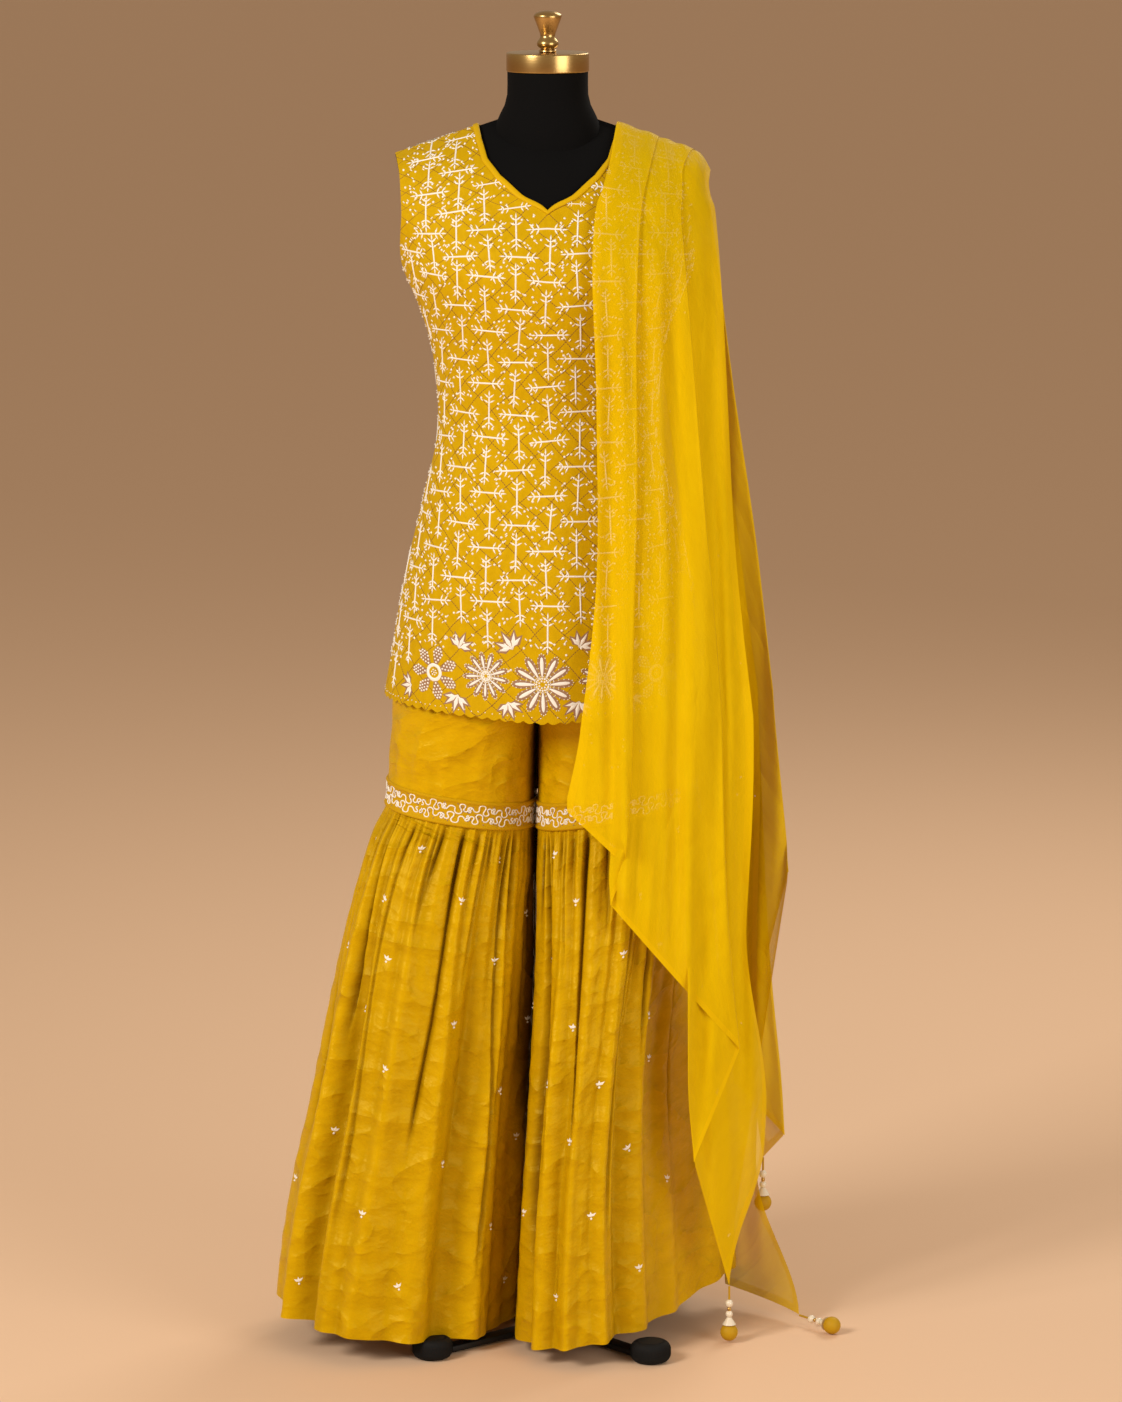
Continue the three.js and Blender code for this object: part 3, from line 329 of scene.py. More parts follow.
def mixed(tree, share, first, second):
    """The mix of two colours, each a constant or an output."""
    return add_node(tree, "ShaderNodeMix", {0: share, 6: first, 7: second}, data_type="RGBA").outputs[2]


source = add_node(cloth_noise, "NodeGroupInput", {}).outputs
scaled = add_node(cloth_noise, "ShaderNodeVectorMath", {
    0: attribute(cloth_noise, "cut", "Vector"), 1: source["Stretch"]}, operation="MULTIPLY").outputs["Vector"]
threads = add_node(cloth_noise, "ShaderNodeTexNoise", {
    "Vector": scaled, "Scale": source["Scale"], "Detail": 5, "Roughness": 0.6}).outputs["Fac"]
relief = add_node(cloth_noise, "ShaderNodeBump", {"Height": threads, "Distance": source["Depth"]})
creased = add_node(cloth_noise, "ShaderNodeTexNoise", {
    "Vector": scaled, "Scale": 13, "Detail": 3, "Roughness": 0.45, "Offset": 1},
    noise_type="RIDGED_MULTIFRACTAL")
creases = add_node(cloth_noise, "ShaderNodeBump", {
    "Height": creased.outputs["Fac"], "Distance": source["Creases"], "Normal": relief.outputs["Normal"]})
add_node(cloth_noise, "NodeGroupOutput", {"Fac": threads, "Normal": creases.outputs["Normal"]})


def use_noise(made, scale, stretch, depth, dark, light, creases=0.0):
    """Adds the cloth's uneven threads to a material: two tones and a fine relief."""
    group = add_node(made.node_tree, "ShaderNodeGroup", {
        "Scale": scale, "Stretch": stretch, "Depth": depth, "Creases": creases}, node_tree=cloth_noise)
    tones = mixed(made.node_tree, group.outputs["Fac"], (*dark, 1), (*light, 1))
    feed(made, "Base Color", tones)
    feed(made, "Normal", group.outputs["Normal"])
    return tones


def run(points, axis=0):
    """Length run along each line of points, from nothing at its first point."""
    steps = np.linalg.norm(np.diff(points, axis=axis), axis=-1)
    return np.concatenate([np.zeros_like(np.take(steps, [0], axis)), np.cumsum(steps, axis)], axis)


def cut_at(across, along):
    """Places on the flat cloth in metres, from lengths in millimetres."""
    return np.stack([across / 1000, along / 1000, np.zeros_like(along)], -1)


def on_body(side, rows, x):
    """Points of the worn cloth at half widths x of the rows, with its faint creases at waist and skirt."""
    reach = rows["reach"][:, None]
    y = arc(x, reach, np.maximum(rows["front" if side < 0 else "back"], 0)[:, None])
    points = np.stack([x, side * (HALF_SEAM + y), rows["z"][:, None] + rows["slope"][:, None] * x], -1)
    z = points[..., 2]
    skirt = 1.1 * np.sin(x / 23 + z / 61) * smooth((1180 - z) / 200)
    waist = 0.9 * np.sin(z / 13 + x / 31) * np.exp(-((z - WAIST_Z) / 45) ** 2) * smooth(x / 60)
    points[..., 1] += side * np.clip(1 - (x / reach) ** 4, 0, 1) * (skirt + waist)
    return points


def panel(side, count=230, columns=104):
    """One half of the front (side -1) or back (side 1), from the centre or neck out to the edge."""
    rows = body_rows(np.linspace(0, ROWS - 1, count))
    neck, reach = rows["frontNeck" if side < 0 else "backNeck"], rows["reach"]
    low, high = (np.arcsin(np.clip(w / reach, 0, 1) ** (ROUND / 2))
                 for w in (neck, np.minimum(rows["edge"], reach)))
    turn = low[:, None] + (high - low)[:, None] * np.linspace(0, 1, columns)
    half = on_body(side, rows, reach[:, None] * np.sin(turn) ** (2 / ROUND))
    across = neck[:, None] + run(half, 1)
    along = np.broadcast_to(run(half[:, 0])[:, None], across.shape)
    scallop = SCALLOP_DEEP * np.abs(np.sin(across * math.pi / SCALLOP_WIDE)) - 1.6
    half[..., 2] -= scallop * np.clip(1 - along / SCALLOP_WIDE, 0, 1)
    return half, across, along


def both_halves(half, across, along):
    """Mirrors a half panel; the two meet on the centre line below the neck."""
    full = np.concatenate([half[:, ::-1] * [-1, 1, 1], half], 1)
    return full, np.concatenate([-across[:, ::-1], across], 1), np.concatenate([along, along], 1)


def weld(piece, distance=0.00001):
    """Merges points that lie on each other, as along a centre line or a seam."""
    made = bmesh.new()
    made.from_mesh(piece.data)
    bmesh.ops.remove_doubles(made, verts=made.verts, dist=distance)
    made.to_mesh(piece.data)
    made.free()


kurti_cloth = material("kurti_cloth", (0.60, 0.34, 0.01), Roughness=0.6, Specular_IOR_Level=0.2,
                       Specular_Tint=SILK_SHINE)
tones = use_noise(kurti_cloth, 120, (1, 0.6, 1), 0.0007, (0.47, 0.270, 0.0012), (0.66, 0.415, 0.003))
# Thin brown stitched lines cross the cloth on the slant, broken into dashes. They sway a little.
LATTICE, STITCH = 0.034, 0.0042
tree = kurti_cloth.node_tree
cut = attribute(tree, "cut", "Vector")
masks = []
for slant in (1, -1):
    warp, cross = (
        add_node(tree, "ShaderNodeVectorMath", {0: cut, 1: (1 / step, lean / step, 0)},
                 operation="DOT_PRODUCT").outputs["Value"]
        for step, lean in ((LATTICE, slant), (STITCH, -slant)))
    sway = work(tree, "SINE", work(tree, "MULTIPLY", cross, 0.27))
    middle = work(tree, "PINGPONG", work(tree, "MULTIPLY_ADD", sway, 0.05, warp), 0.5)
    line = work(tree, "LESS_THAN", middle, 0.021)
    dashed = work(tree, "LESS_THAN", work(tree, "PINGPONG", cross, 0.5), 0.39)
    masks.append(work(tree, "MULTIPLY", line, dashed))
brown = (0.24, 0.115, 0.025, 1)
feed(kurti_cloth, "Base Color", mixed(tree, work(tree, "MAXIMUM", *masks), tones, brown))

for side, name in ((-1, "front"), (1, "back")):
    full, across, along = both_halves(*panel(side))
    faces = grid_faces(*full.shape[:2], turned=side > 0)
    # Between the halves faces are left out where the neck is open.
    middle = full.shape[1] // 2 - 1
    opening = (faces.min(1) % full.shape[1] == middle) & (across.ravel()[faces.max(1)] > 0.01)
    piece = mesh_piece(f"kurti_{name}_cloth", full, faces[~opening], kurti_cloth,
                       cut=cut_at(across + 1000, along))
    weld(piece)
    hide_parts(f"kurti_{name}")

# Stations round the neck: row and half width at the binding's inner edge, then at its outer edge.
BINDING = {
    "front": [(11, 0, 10.88, 0), (11.5, 14.5, 11.28, 18), (12, 29, 11.86, 33.7), (13, 54, 12.89, 59),
              (14, 69, 13.93, 74.7), (15, 76, 15, 82), (16, 80, 16, 86)],
    "back": [(15, 66, 14.9, 71.5), (14, 38, 13.84, 42), (13.5, 19, 13.31, 21), (13, 0, 12.81, 0)],
}
# The folded strip's section: share of its width, and height off the cloth.
FOLDED = [(0.02, -0.6), (-0.10, 0.4), (-0.06, 1.3), (0.12, 1.9), (0.5, 2.1), (0.86, 1.8), (1, 1.2),
          (1.02, 0.2)]


def on_panel(side, at, x):
    """A point of the kurti at a row and half width."""
    rows = body_rows(np.atleast_1d(float(at)))
    y = arc(np.atleast_1d(float(x)), rows["reach"], rows["front" if side < 0 else "back"])
    return np.array([x, side * (HALF_SEAM + y[0]), rows["z"][0] + rows["slope"][0] * x])


pairs = []
for side, name in ((-1, "front"), (1, "back")):
    path = np.array(BINDING[name])
    fine = np.linspace(0, len(path) - 1, (len(path) - 1) * 6 + 1)
    path = np.stack([np.interp(fine, range(len(path)), path[:, c]) for c in range(4)], -1)
    pairs += [(on_panel(side, a, b), on_panel(side, c, d)) for a, b, c, d in path]
# The strip runs up one side of the neck and down behind it, and its mirror image closes the ring.
pairs = np.array(pairs)
pairs = np.concatenate([pairs, pairs[1:-1][::-1] * [-1, 1, 1]])
near, far = pairs[:, 0], pairs[:, 1]
lengthwise = np.roll(near, -1, 0) - np.roll(near, 1, 0)
outward = np.cross(far - near, lengthwise)
outward /= np.linalg.norm(outward, axis=1)[:, None]
outward *= np.sign(outward[:, 1] * near[:, 1] + outward[:, 2] * 40)[:, None]
strip = np.stack([near + (far - near) * w + outward * h for w, h in FOLDED])
binding_cloth = material("binding_cloth", (0.64, 0.39, 0.003), Roughness=0.55, Specular_IOR_Level=0.35,
                         Specular_Tint=SILK_SHINE)
neck_binding = mesh_piece("neck_binding_cloth", strip, grid_faces(*strip.shape[:2], closed=True, turned=True),
                          binding_cloth)
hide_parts("neck_binding")

# The sharara: plain upper legs of dull silk, one to each side of a crotch seam, under a narrow waistband.
# The legs are cut close to the knee and lean a little, as the form's legless hips let them hang.
HEM_Z, BAND_FOOT, LEG_FOOT, CROTCH, LEG_TOP, SEAT_TOP = 36, 629.7, 659.3, 785, 792, 1075
# Heights down a leg, and its ring at each: the sides, the middle and the depths in front and behind.
LEG_Z = [LEG_TOP, 762, 720, 660, 630, 594, 537, 474, 400, 329, 259, 190, 105, HEM_Z]
LEG_BACK = [116, 106, 92, 79, 79, 90, 103, 114, 124, 132, 138, 144, 150, 155]
LEGS = {
    "left": {
        "outer": [-178, -181, -183, -186, -188, -204, -221, -237, -253, -267, -281, -297, -312, -320],
        "middle": [-16, -60, -95, -102, -103, -108, -118, -127, -136, -146, -156, -166, -176, -183],
        "inner": [-11.65, -13, -14.5, -15.4, -15.4, -14.2, -14, -14.2, -16.4, -19.4, -22.4, -26.4, -30.6,
                  -34.6],
        "front": [113, 104, 92, 80, 80, 92, 107, 120, 131, 140, 147, 153, 160, 166],
        "back": LEG_BACK,
    },
    "right": {
        "outer": [178, 180, 179, 174, 172, 170, 166, 162, 158, 155, 156, 159, 164, 168],
        "outerBack": [178, 180, 179, 174, 172, 184, 194, 203, 212, 219, 225, 231, 236, 239],
        "middle": [-7, 45, 75, 80, 80, 84, 86, 85, 81, 77, 72, 68, 65, 65],
        "inner": [-11.35, -11.35, -11.35, -11.35, -11.35, -11.35, -11.5, -12, -14, -17, -20, -24, -28, -32],
        "front": [113, 104, 92, 80, 80, 93, 110, 126, 142, 154, 163, 170, 177, 183],
        "back": LEG_BACK,
    },
}
LEGS["left"]["outerBack"] = LEGS["left"]["outer"]
HAND = {"left": -1, "right": 1}
SEAT = {
    "z": [SEAT_TOP, 1010, 940, 870, LEG_TOP], "wide": [120.6, 133.5, 150, 166, 178],
    "front": [92.5, 100.5, 108, 112, 113], "back": [82.5, 96.5, 108, 114, 116],
}
SEAM_X = -11.5
LEAN, SWELL = 0.2, 3.6
TILT = ([HEM_Z, 330, 645, LEG_TOP], [0.11, 0.15, 0.165, 0])


def power(value, n=2 / ROUND):
    """Raises the size of a value and keeps its sign, which rounds a ring as the body is round."""
    return np.sign(value) * np.abs(value) ** n


def leg_point(leg, z, degrees):
    """Points of a leg's ring: the angle runs from the outer side, -90 at the front and 90 at the back."""
    z, degrees = np.broadcast_arrays(np.asarray(z, float), np.asarray(degrees, float))
    s = {k: curve(LEG_Z, values, z) for k, values in LEGS[leg].items()}
    c, d = np.cos(np.radians(degrees)), np.sin(np.radians(degrees))
    outer = s["outer"] + (s["outerBack"] - s["outer"]) * smooth((degrees + 12) / 34)
    across = np.where(c >= 0, outer - s["middle"], s["middle"] - s["inner"])
    y = power(d) * np.where(d < 0, s["front"], s["back"])
    x = s["middle"] + power(c) * across
    # Behind its middle the inner side swells, least at the band, so that the two legs meet there.
    behind = smooth(y / 12) * smooth((55 - y) / 25) * (c < 0)
    swelling = behind * smooth((CROTCH - z) / 25) * smooth((z - 540) / 60)
    at_band = smooth((z - 618) / 8) * smooth((672 - z) / 8)
    x = x - HAND[leg] * SWELL * swelling * (1 - 0.6 * at_band)
    leaned = x + y * LEAN * smooth((LEG_TOP - z) / 232)
    return np.stack([leaned, y, z + HAND[leg] * (x - s["middle"]) * curve(*TILT, z)], -1)


def outward_of(leg, z, degrees):
    """Level directions that point out of a leg's ring."""
    a, b = leg_point(leg, z, degrees - 1), leg_point(leg, z, degrees + 1)
    out = np.stack([b[..., 1] - a[..., 1], a[..., 0] - b[..., 0], np.zeros(a.shape[:-1])], -1)
    return HAND[leg] * out / np.linalg.norm(out, axis=-1, keepdims=True)


def cut_of(points):
    """Where each point lies on the flat cloth: round and up."""
    across = run(points, 1)
    return cut_at(across, np.broadcast_to(run(points).mean(1)[:, None], across.shape))


def join(parts, name):
    """Joins all parts into the first and names it."""
    bpy.ops.object.select_all(action="DESELECT")
    for part in parts:
        part.select_set(True)
    bpy.context.view_layer.objects.active = parts[0]
    bpy.ops.object.join()
    parts[0].name = name
    return parts[0]


sharara_cloth = material("sharara_cloth", (0.58, 0.29, 0.002), Roughness=0.4, Specular_IOR_Level=0.4,
                         Specular_Tint=SILK_SHINE)
tones = use_noise(sharara_cloth, 42, (1, 1.5, 1), 0.0022, (0.52, 0.293, 0.0004), (0.74, 0.450, 0.0008),
                  creases=0.0032)
# Painted shade: the cloth's colour is drawn towards dark brown by the "deep" value, down in its folds and
# between the legs, where shade falls.
tree = sharara_cloth.node_tree
feed(sharara_cloth, "Base Color", mixed(tree, attribute(tree, "deep"), tones, (0.12, 0.044, 0.0002, 1)))
LEG_COLUMNS = 96
for leg in ("left", "right"):
    hand = HAND[leg]
    z = np.linspace(LEG_FOOT, LEG_TOP, 60)[:, None]
    degrees = np.linspace(-180, 180, 2 * LEG_COLUMNS)[None, :]
    drawn = smooth((760 - z) / 110)
    pulled = np.sin(degrees / 3.6 + 1.2 * np.sin(z / 31))
    crease = (1.1 * pulled * drawn + 0.5 * np.sin(z / 13 + degrees / 8)
              + 0.4 * np.sin(degrees / 1.9 - z / 40) * drawn)
    crease *= smooth((z - 660) / 30) * smooth((CROTCH - z) / 30) * smooth((165 - np.abs(degrees)) / 25)
    full = leg_point(leg, z, degrees) + outward_of(leg, z, degrees) * crease[..., None]
    # Painted shade: dark on the leg's inner side, where the legs meet, and a little down in the drawn
    # creases.
    between = 0.95 * smooth((np.abs(degrees) - 153) / 20) + 0.13 * drawn * (0.5 - 0.5 * pulled) ** 3
    lower = mesh_piece(f"upper_leg_{leg}", full, grid_faces(*full.shape[:2], turned=hand < 0),
                       sharara_cloth, cut=cut_of(full), deep=between)
    z = np.linspace(LEG_TOP, SEAT_TOP, 60)[:, None]
    wide, front, back = (curve(SEAT["z"], SEAT[k], z) for k in ("wide", "front", "back"))
    seam = SEAM_X + hand * HALF_SEAM
    start = np.arccos(np.clip(abs(seam) / wide, 0, 1) ** (ROUND / 2))
    start = start if hand * seam > 0 else math.pi - start
    a = -start + 2 * start * np.linspace(0, 1, LEG_COLUMNS)[None, :]
    x = hand * wide * power(np.cos(a))
    x[:, 0] = x[:, -1] = seam
    y = power(np.sin(a)) * np.where(np.sin(a) < 0, front, back)
    upper = np.stack([x, y, np.broadcast_to(z, x.shape)], -1)
    seat_piece = mesh_piece(f"seat_{leg}", upper, grid_faces(*upper.shape[:2], turned=hand < 0),
                            sharara_cloth, cut=cut_of(upper))
    trouser = join([lower, seat_piece], f"trouser_{leg}_cloth")
    weld(trouser, 0.0002)
    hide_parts(f"trouser_{leg}")
WAIST_WIDE, WAIST_FRONT, WAIST_BACK = 120.4, 91.4, 80.6
turn = np.linspace(0, 2 * math.pi, 160, endpoint=False)
depth = np.where(np.cos(turn) > 0, WAIST_FRONT, WAIST_BACK)
ring = np.stack([WAIST_WIDE * power(np.sin(turn)), -depth * power(np.cos(turn)), np.zeros_like(turn)], -1)
waist = np.stack([ring + [0, 0, z] for z in (1075.3, 1080, 1089, 1098, 1103)])
waistband = mesh_piece("waistband_cloth", waist, grid_faces(*waist.shape[:2], closed=True), sharara_cloth,
                       cut=cut_of(waist))
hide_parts("waistband")

# The flares: a long straight cut of the same silk gathered into the knee band with two rows of running
# stitch, so fine gathers at the top run down into broad folds. The hem is turned and sewn.
FLARE_ROWS, FLARE_COLUMNS, GATHERS = 150, 520, 32
# Each broad fold: its place round the leg and its half width where it is half as deep, both in degrees, and
# its depth in millimetres.
FOLDS = {
    "left": [(-22, 9, 16), (-52, 8, 34), (-74, 9, 14), (-98, 8, 15), (-126, 9, 26), (-160, 10, 14),
             (20, 11, 22), (52, 9, 26), (84, 11, 18), (118, 10, 24), (150, 10, 14)],
    "right": [(-30, 9, 16), (-56, 8, 22), (-82, 9, 15), (-108, 8, 20), (-138, 9, 18), (-164, 9, 8),
              (18, 10, 24), (50, 9, 26), (80, 11, 18), (114, 10, 24), (148, 10, 12)],
}
# Sharp nips that start at the stitching: the place in degrees, and the height where each one dies out.
NIPS = [(-166, 360), (-141, 90), (-118, 420), (-101, 230), (-87, 470), (-66, 130), (-45, 330), (-33, 440),
        (-12, 210), (9, 400), (31, 150), (58, 330), (77, 250), (101, 430), (124, 180), (152, 350)]
# Many short nips lie between them.
SHORT_NIPS, NIP_DEPTH, NIP_WIDTH, DEEPEST_NIP = 46, 5.4, 1.25, 9
short = np.random.default_rng(3).random((SHORT_NIPS, 2))
NIPS += [(-174 + 348 * (n + 0.8 * a) / SHORT_NIPS, 470 + 120 * b) for n, (a, b) in enumerate(short)]
flare_surface = {}
for leg in ("left", "right"):
    z = HEM_Z + (BAND_FOOT - HEM_Z) * (1 - (1 - np.linspace(0, 1, FLARE_ROWS)) ** 1.25)[:, None]
    degrees = np.linspace(-180, 180, FLARE_COLUMNS)[None, :]
    drift = 1.6 * np.sin(z / 90 + degrees / 40) + 0.9 * np.sin(z / 47 + degrees / 17 + 2)
    phase = (degrees + drift * smooth((600 - z) / 200) + 180) / 360 * GATHERS
    depth = curve([HEM_Z, 220, 400, 540, 600, BAND_FOOT], [3.4, 3.0, 3.6, 5.4, 5, 2.6], z)
    uneven = 0.66 + 0.34 * np.sin(degrees / 11 + 1.3) * np.cos(z / 160 + degrees / 60)
    trough = depth * uneven * (0.5 + 0.5 * np.cos(2 * math.pi * phase)) ** 1.3
    fine = 1.2 * np.exp(-((629 - z) / 75) ** 2) * (0.5 + 0.5 * np.sin(2 * math.pi * phase * 2.63 + 1))
    fine += 1.4 * np.exp(-((600 - z) / 170) ** 2) * (0.5 + 0.5 * np.sin(2 * math.pi * phase * 1.37))
    fold = nips = 0
    for place, width, fold_depth in FOLDS[leg]:
        off = np.abs((degrees - place + 540) % 360 - 180) / width
        fold = fold + fold_depth * np.where(off < 2, np.cos(off * math.pi / 4) ** 2, 0)
    fold = fold * smooth((BAND_FOOT - z) / 330)
    for n, (place, low) in enumerate(NIPS):
        off = (degrees - place - 1.9 * np.sin(z / 83 + n * 1.7)) / NIP_WIDTH
        reach = smooth((z - low) / 90) * smooth((634 - z) / 30)
        nips = nips + (NIP_DEPTH + 2 * math.sin(n * 2.4)) * np.exp(-(off**2)) * reach
    nips = np.minimum(nips, DEEPEST_NIP)
    inside = trough + fine + nips + fold
    if leg == "right":
        near_pole = smooth((np.abs(degrees) - 138) / 12)
        inside = inside * (1 - near_pole) + near_pole * np.minimum(inside, 1.4)
    inner_side = smooth((np.abs(degrees) - 145) / 15) * smooth((z - 540) / 40)
    inside = inside * (1 - inner_side) + inner_side * np.minimum(inside, 0.4)
    crinkle = 0.5 * np.sin(z / 5.5 + 3 * np.sin(degrees / 9)) * np.sin(degrees / 3.7 + z / 33)
    inside = inside + crinkle * smooth((590 - z) / 120)
    points = leg_point(leg, z, degrees) - outward_of(leg, z, degrees) * inside[..., None]
    # In front the hem hangs lower, down to the tops of the feet.
    drop = 12 if leg == "right" else 5 + 3 * smooth((points[..., 0] + 100) / 30)
    points[..., 2] -= drop * smooth(-points[..., 1] / 60) * smooth((150 - z) / 150)
    # Painted shade: the colour darkens in the nips, fine gathers, troughs and broad folds, and on the inner
    # side between the legs.
    deep = np.clip(nips / 11 + fine / 14 + trough / 26 + fold / 90, 0, 0.85)
    deep = np.maximum(deep, 0.95 * smooth((np.abs(degrees) - 158) / 16) * smooth((z - 170) / 200))
    flare = mesh_piece(f"flare_{leg}_cloth", points, grid_faces(*points.shape[:2], turned=HAND[leg] < 0),
                       sharara_cloth, cut=cut_of(points), deep=deep)
    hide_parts(f"flare_{leg}")
    flare_surface[leg] = {"P": points, "out": HAND[leg]}

# The knee bands: an upright strip of net on silk over the gathering line, with a cord along both edges.
# The strip stands a little off the cloth and carries the curling stitched pattern.
band_cloth = material("band_cloth", (0.60, 0.34, 0.004), Roughness=0.6, Specular_IOR_Level=0.3,
                      Specular_Tint=SILK_SHINE)
use_noise(band_cloth, 500, (1, 1, 1), 0.0003, (0.46, 0.25, 0.002), (0.64, 0.375, 0.005))
# Height and lift off the leg: flat cloth with a raised cord along both edges.
BAND_SECTION = [(628.4, 0.2), (629.2, 1.9), (630.8, 2.7), (632.6, 1.9), (633.6, 1.1), (640, 1.0),
                (647, 1.0), (655.4, 1.1), (656.4, 1.9), (658.2, 2.7), (659.8, 1.9), (660.6, 0.2)]
band_z, lift = np.array(BAND_SECTION).T
flat_z = np.linspace(631, 658, 20)[:, None]
degrees = np.linspace(-180, 180, 240)[None, :]
band_surface = {}
for leg in ("left", "right"):
    z = band_z[:, None]
    points = leg_point(leg, z, degrees) + outward_of(leg, z, degrees) * lift[:, None, None]
    band = mesh_piece(f"knee_band_{leg}_cloth", points, grid_faces(*points.shape[:2], turned=HAND[leg] < 0),
                      band_cloth, cut=cut_of(points))
    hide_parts(f"knee_band_{leg}")
    flat = leg_point(leg, flat_z, degrees) + outward_of(leg, flat_z, degrees) * 1.1
    band_surface[leg] = {"P": flat, "out": HAND[leg]}

# The dupatta: one length of sheer silk with narrow turned hems, folded in layers over the shoulder on the
# viewer's right. Each end hangs as a slanting stack of folds that fan out to its corners.
LEAD, CLOTH, LAYERS, FOLD_TURN, BELLY = 0.9, 1.0, 5, 1.8, 34
STRIP_STEPS, TURN_STEPS, TAIL_ROWS = 26, 6, 69
# Where the five layers' edges run at each station over the shoulder: six places across, in millimetres.
LINES = {
    "frontHem": [38, 100, 76, 198, 150, 236], "frontHip": [57, 100, 79, 186, 142, 220],
    "frontWaist": [53, 100, 82, 172, 132, 207], "frontChest": [50, 102, 84, 159, 124, 198],
    "frontCollar": [54, 106, 86, 153, 118, 193], "frontHigh": [63, 110, 86, 154, 112, 190],
    "frontYoke": [72, 118, 88, 155, 106, 185], "frontTop": [76, 123, 90, 161, 108, 186],
    "ridge": [80, 128, 92, 168, 110, 187], "backTop": [82, 131, 94, 174, 111, 185],
    "backYoke": [84, 134, 96, 180, 112, 182], "backHigh": [88, 142, 100, 186, 116, 183],
    "backCollar": [92, 150, 106, 190, 122, 184], "backChest": [104, 168, 120, 200, 136, 190],
    "backWaist": [122, 192, 138, 218, 154, 202], "backHip": [146, 226, 160, 246, 176, 228],
    "backHem": [172, 250, 184, 266, 198, 248],
}
# How the stack of layers hangs at each station, and the gap between its layers.
HANG = {
    "z": [757, 930, 1115, 1262, 1343, 1375, 1411, 1438, 1461, 1438, 1411, 1375, 1343, 1262, 1115, 930, 757],
    "slope": [0, 0, 0, 0, -.08, -.14, -.184, -.255, -.34, -.255, -.184, -.14, -.08, 0, 0, 0, 0],
    "depth": [-136, -126, -122, -129, -98, -83, -52, -26, 0, 30, 58, 87, 99, 110, 108, 121, 134],
    "reach": [280, 266, 248, 222, 206, 204, 208, 218, 220, 218, 208, 206, 206, 236, 266, 292, 316],
    "lean": [0, 0, 0, 0, 10, 25, 42, 66, 90, 114, 138, 155, 170, 180, 180, 180, 180],
    "gap": [3.6, 3.4, 3, 2, 0.9, .3, -.2, -.4, -.5, -.4, -.2, .3, 0.9, 2, 3, 3.4, 3.6],
}
# The six corners of the folds at each end: place across and height.
FRONT_ENDS = [(22, 660), (90, 594), (72, 548), (224, 366), (170, 236), (214, 69)]
BACK_ENDS = [(259, 183), (284, 216), (224, 272), (286, 541), (214, 24), (300, 12)]


def layer_lift(layer, gap):
    """How far a layer lies off the body. The last one is next to it."""
    return LEAD + CLOTH / 2 + (LAYERS - 1 - layer) * (CLOTH + gap)


def scarf_row(xs):
    """Places along one cross row: x and layer, strip by strip, with a small round turn at each fold."""
    row = []
    for i in range(LAYERS):
        right = 1 if i % 2 == 0 else -1
        start = xs[i] + (right * FOLD_TURN if i > 0 else 0)
        end = xs[i + 1] - (right * FOLD_TURN if i < LAYERS - 1 else 0)
        row += [(start + (end - start) * k / STRIP_STEPS, i) for k in range(STRIP_STEPS + 1)]
        if i < LAYERS - 1:
            turns = [math.pi * k / TURN_STEPS for k in range(1, TURN_STEPS)]
            row += [(end + right * FOLD_TURN * math.sin(t), i + 0.5 - 0.5 * math.cos(t)) for t in turns]
    return row


def scarf_place(station, x, layer):
    """A point of the scarf at a station, out from the body by its layer's lift."""
    share = np.minimum(0.985, np.abs(x) / station["reach"])
    deep = station["depth"] * (1 - share**ROUND) ** (1 / ROUND)
    lean = math.radians(station["lean"])
    base = np.array([x, deep, station["z"] + station["slope"] * x])
    return base + np.array([0, -math.cos(lean), math.sin(lean)]) * layer_lift(layer, station["gap"])


def outer_edge(side, share, top, tip):
    """Where a tail's outer edge is: in front it bellies out, behind it sweeps out over the floor."""
    if side < 0:
        belly = smooth((share - 0.35) / 0.35) * smooth((1 - share) / 0.24)
        return top + (tip - top) * share**1.3 + BELLY * belly
    return top + (tip - top) * (0.06 * share + 0.94 * smooth((share - 0.74) / 0.26) ** 1.4)


fine = np.linspace(0, len(LINES) - 1, (len(LINES) - 1) * 11 + 1)
knots = range(len(LINES))
stations = [dict(zip(HANG, values)) for values in zip(*(curve(knots, HANG[k], fine) for k in HANG))]
lines = np.stack([curve(knots, [places[i] for places in LINES.values()], fine) for i in range(LAYERS + 1)], 1)
hung = []
for ends, station, xs_top, side, pull in ((FRONT_ENDS, stations[0], lines[0], -1, 36),
                                          (BACK_ENDS, stations[-1], lines[-1], 1, -34)):
    tail = []
    for share in np.linspace(1, 0, TAIL_ROWS + 1)[:-1]:
        xs = [a + (b[0] - a) * share**1.3 for a, b in zip(xs_top, ends)]
        xs[-1] = outer_edge(side, share, xs_top[-1], ends[-1][0])
        row = []
        for x, layer in scarf_row(xs):
            n = min(LAYERS - 1, int(layer))
            across = np.clip((x - xs[n]) / (xs[n + 1] - xs[n]), 0, 1) if layer == int(layer) else 1
            p = scarf_place(station, x, layer)
            low_end = ends[n][1] + (ends[n + 1][1] - ends[n][1]) * across
            p[2] = station["z"] + (low_end - station["z"]) * share
            if n == LAYERS - 1:
                p[1] += pull * share**2 * across
            row.append((*p, layer, xs[1], xs[3]))
        tail.append(row)
    hung.append(tail)
middle = [[(*scarf_place(station, x, layer), layer, xs[1], xs[3]) for x, layer in scarf_row(xs)]
          for station, xs in zip(stations, lines)]
scarf = np.array(hung[0] + middle + hung[1][::-1])
points = scarf[..., :3].copy()
layer, first_fold, third_fold = scarf[..., 3], scarf[..., 4], scarf[..., 5]
# Soft folds run down the cloth: every layer moves out together, so that none crosses another. Past the
# shoulder's end the cloth rounds off and drops.
x, z = points[..., 0], points[..., 2]
side = np.sign(points[..., 1])
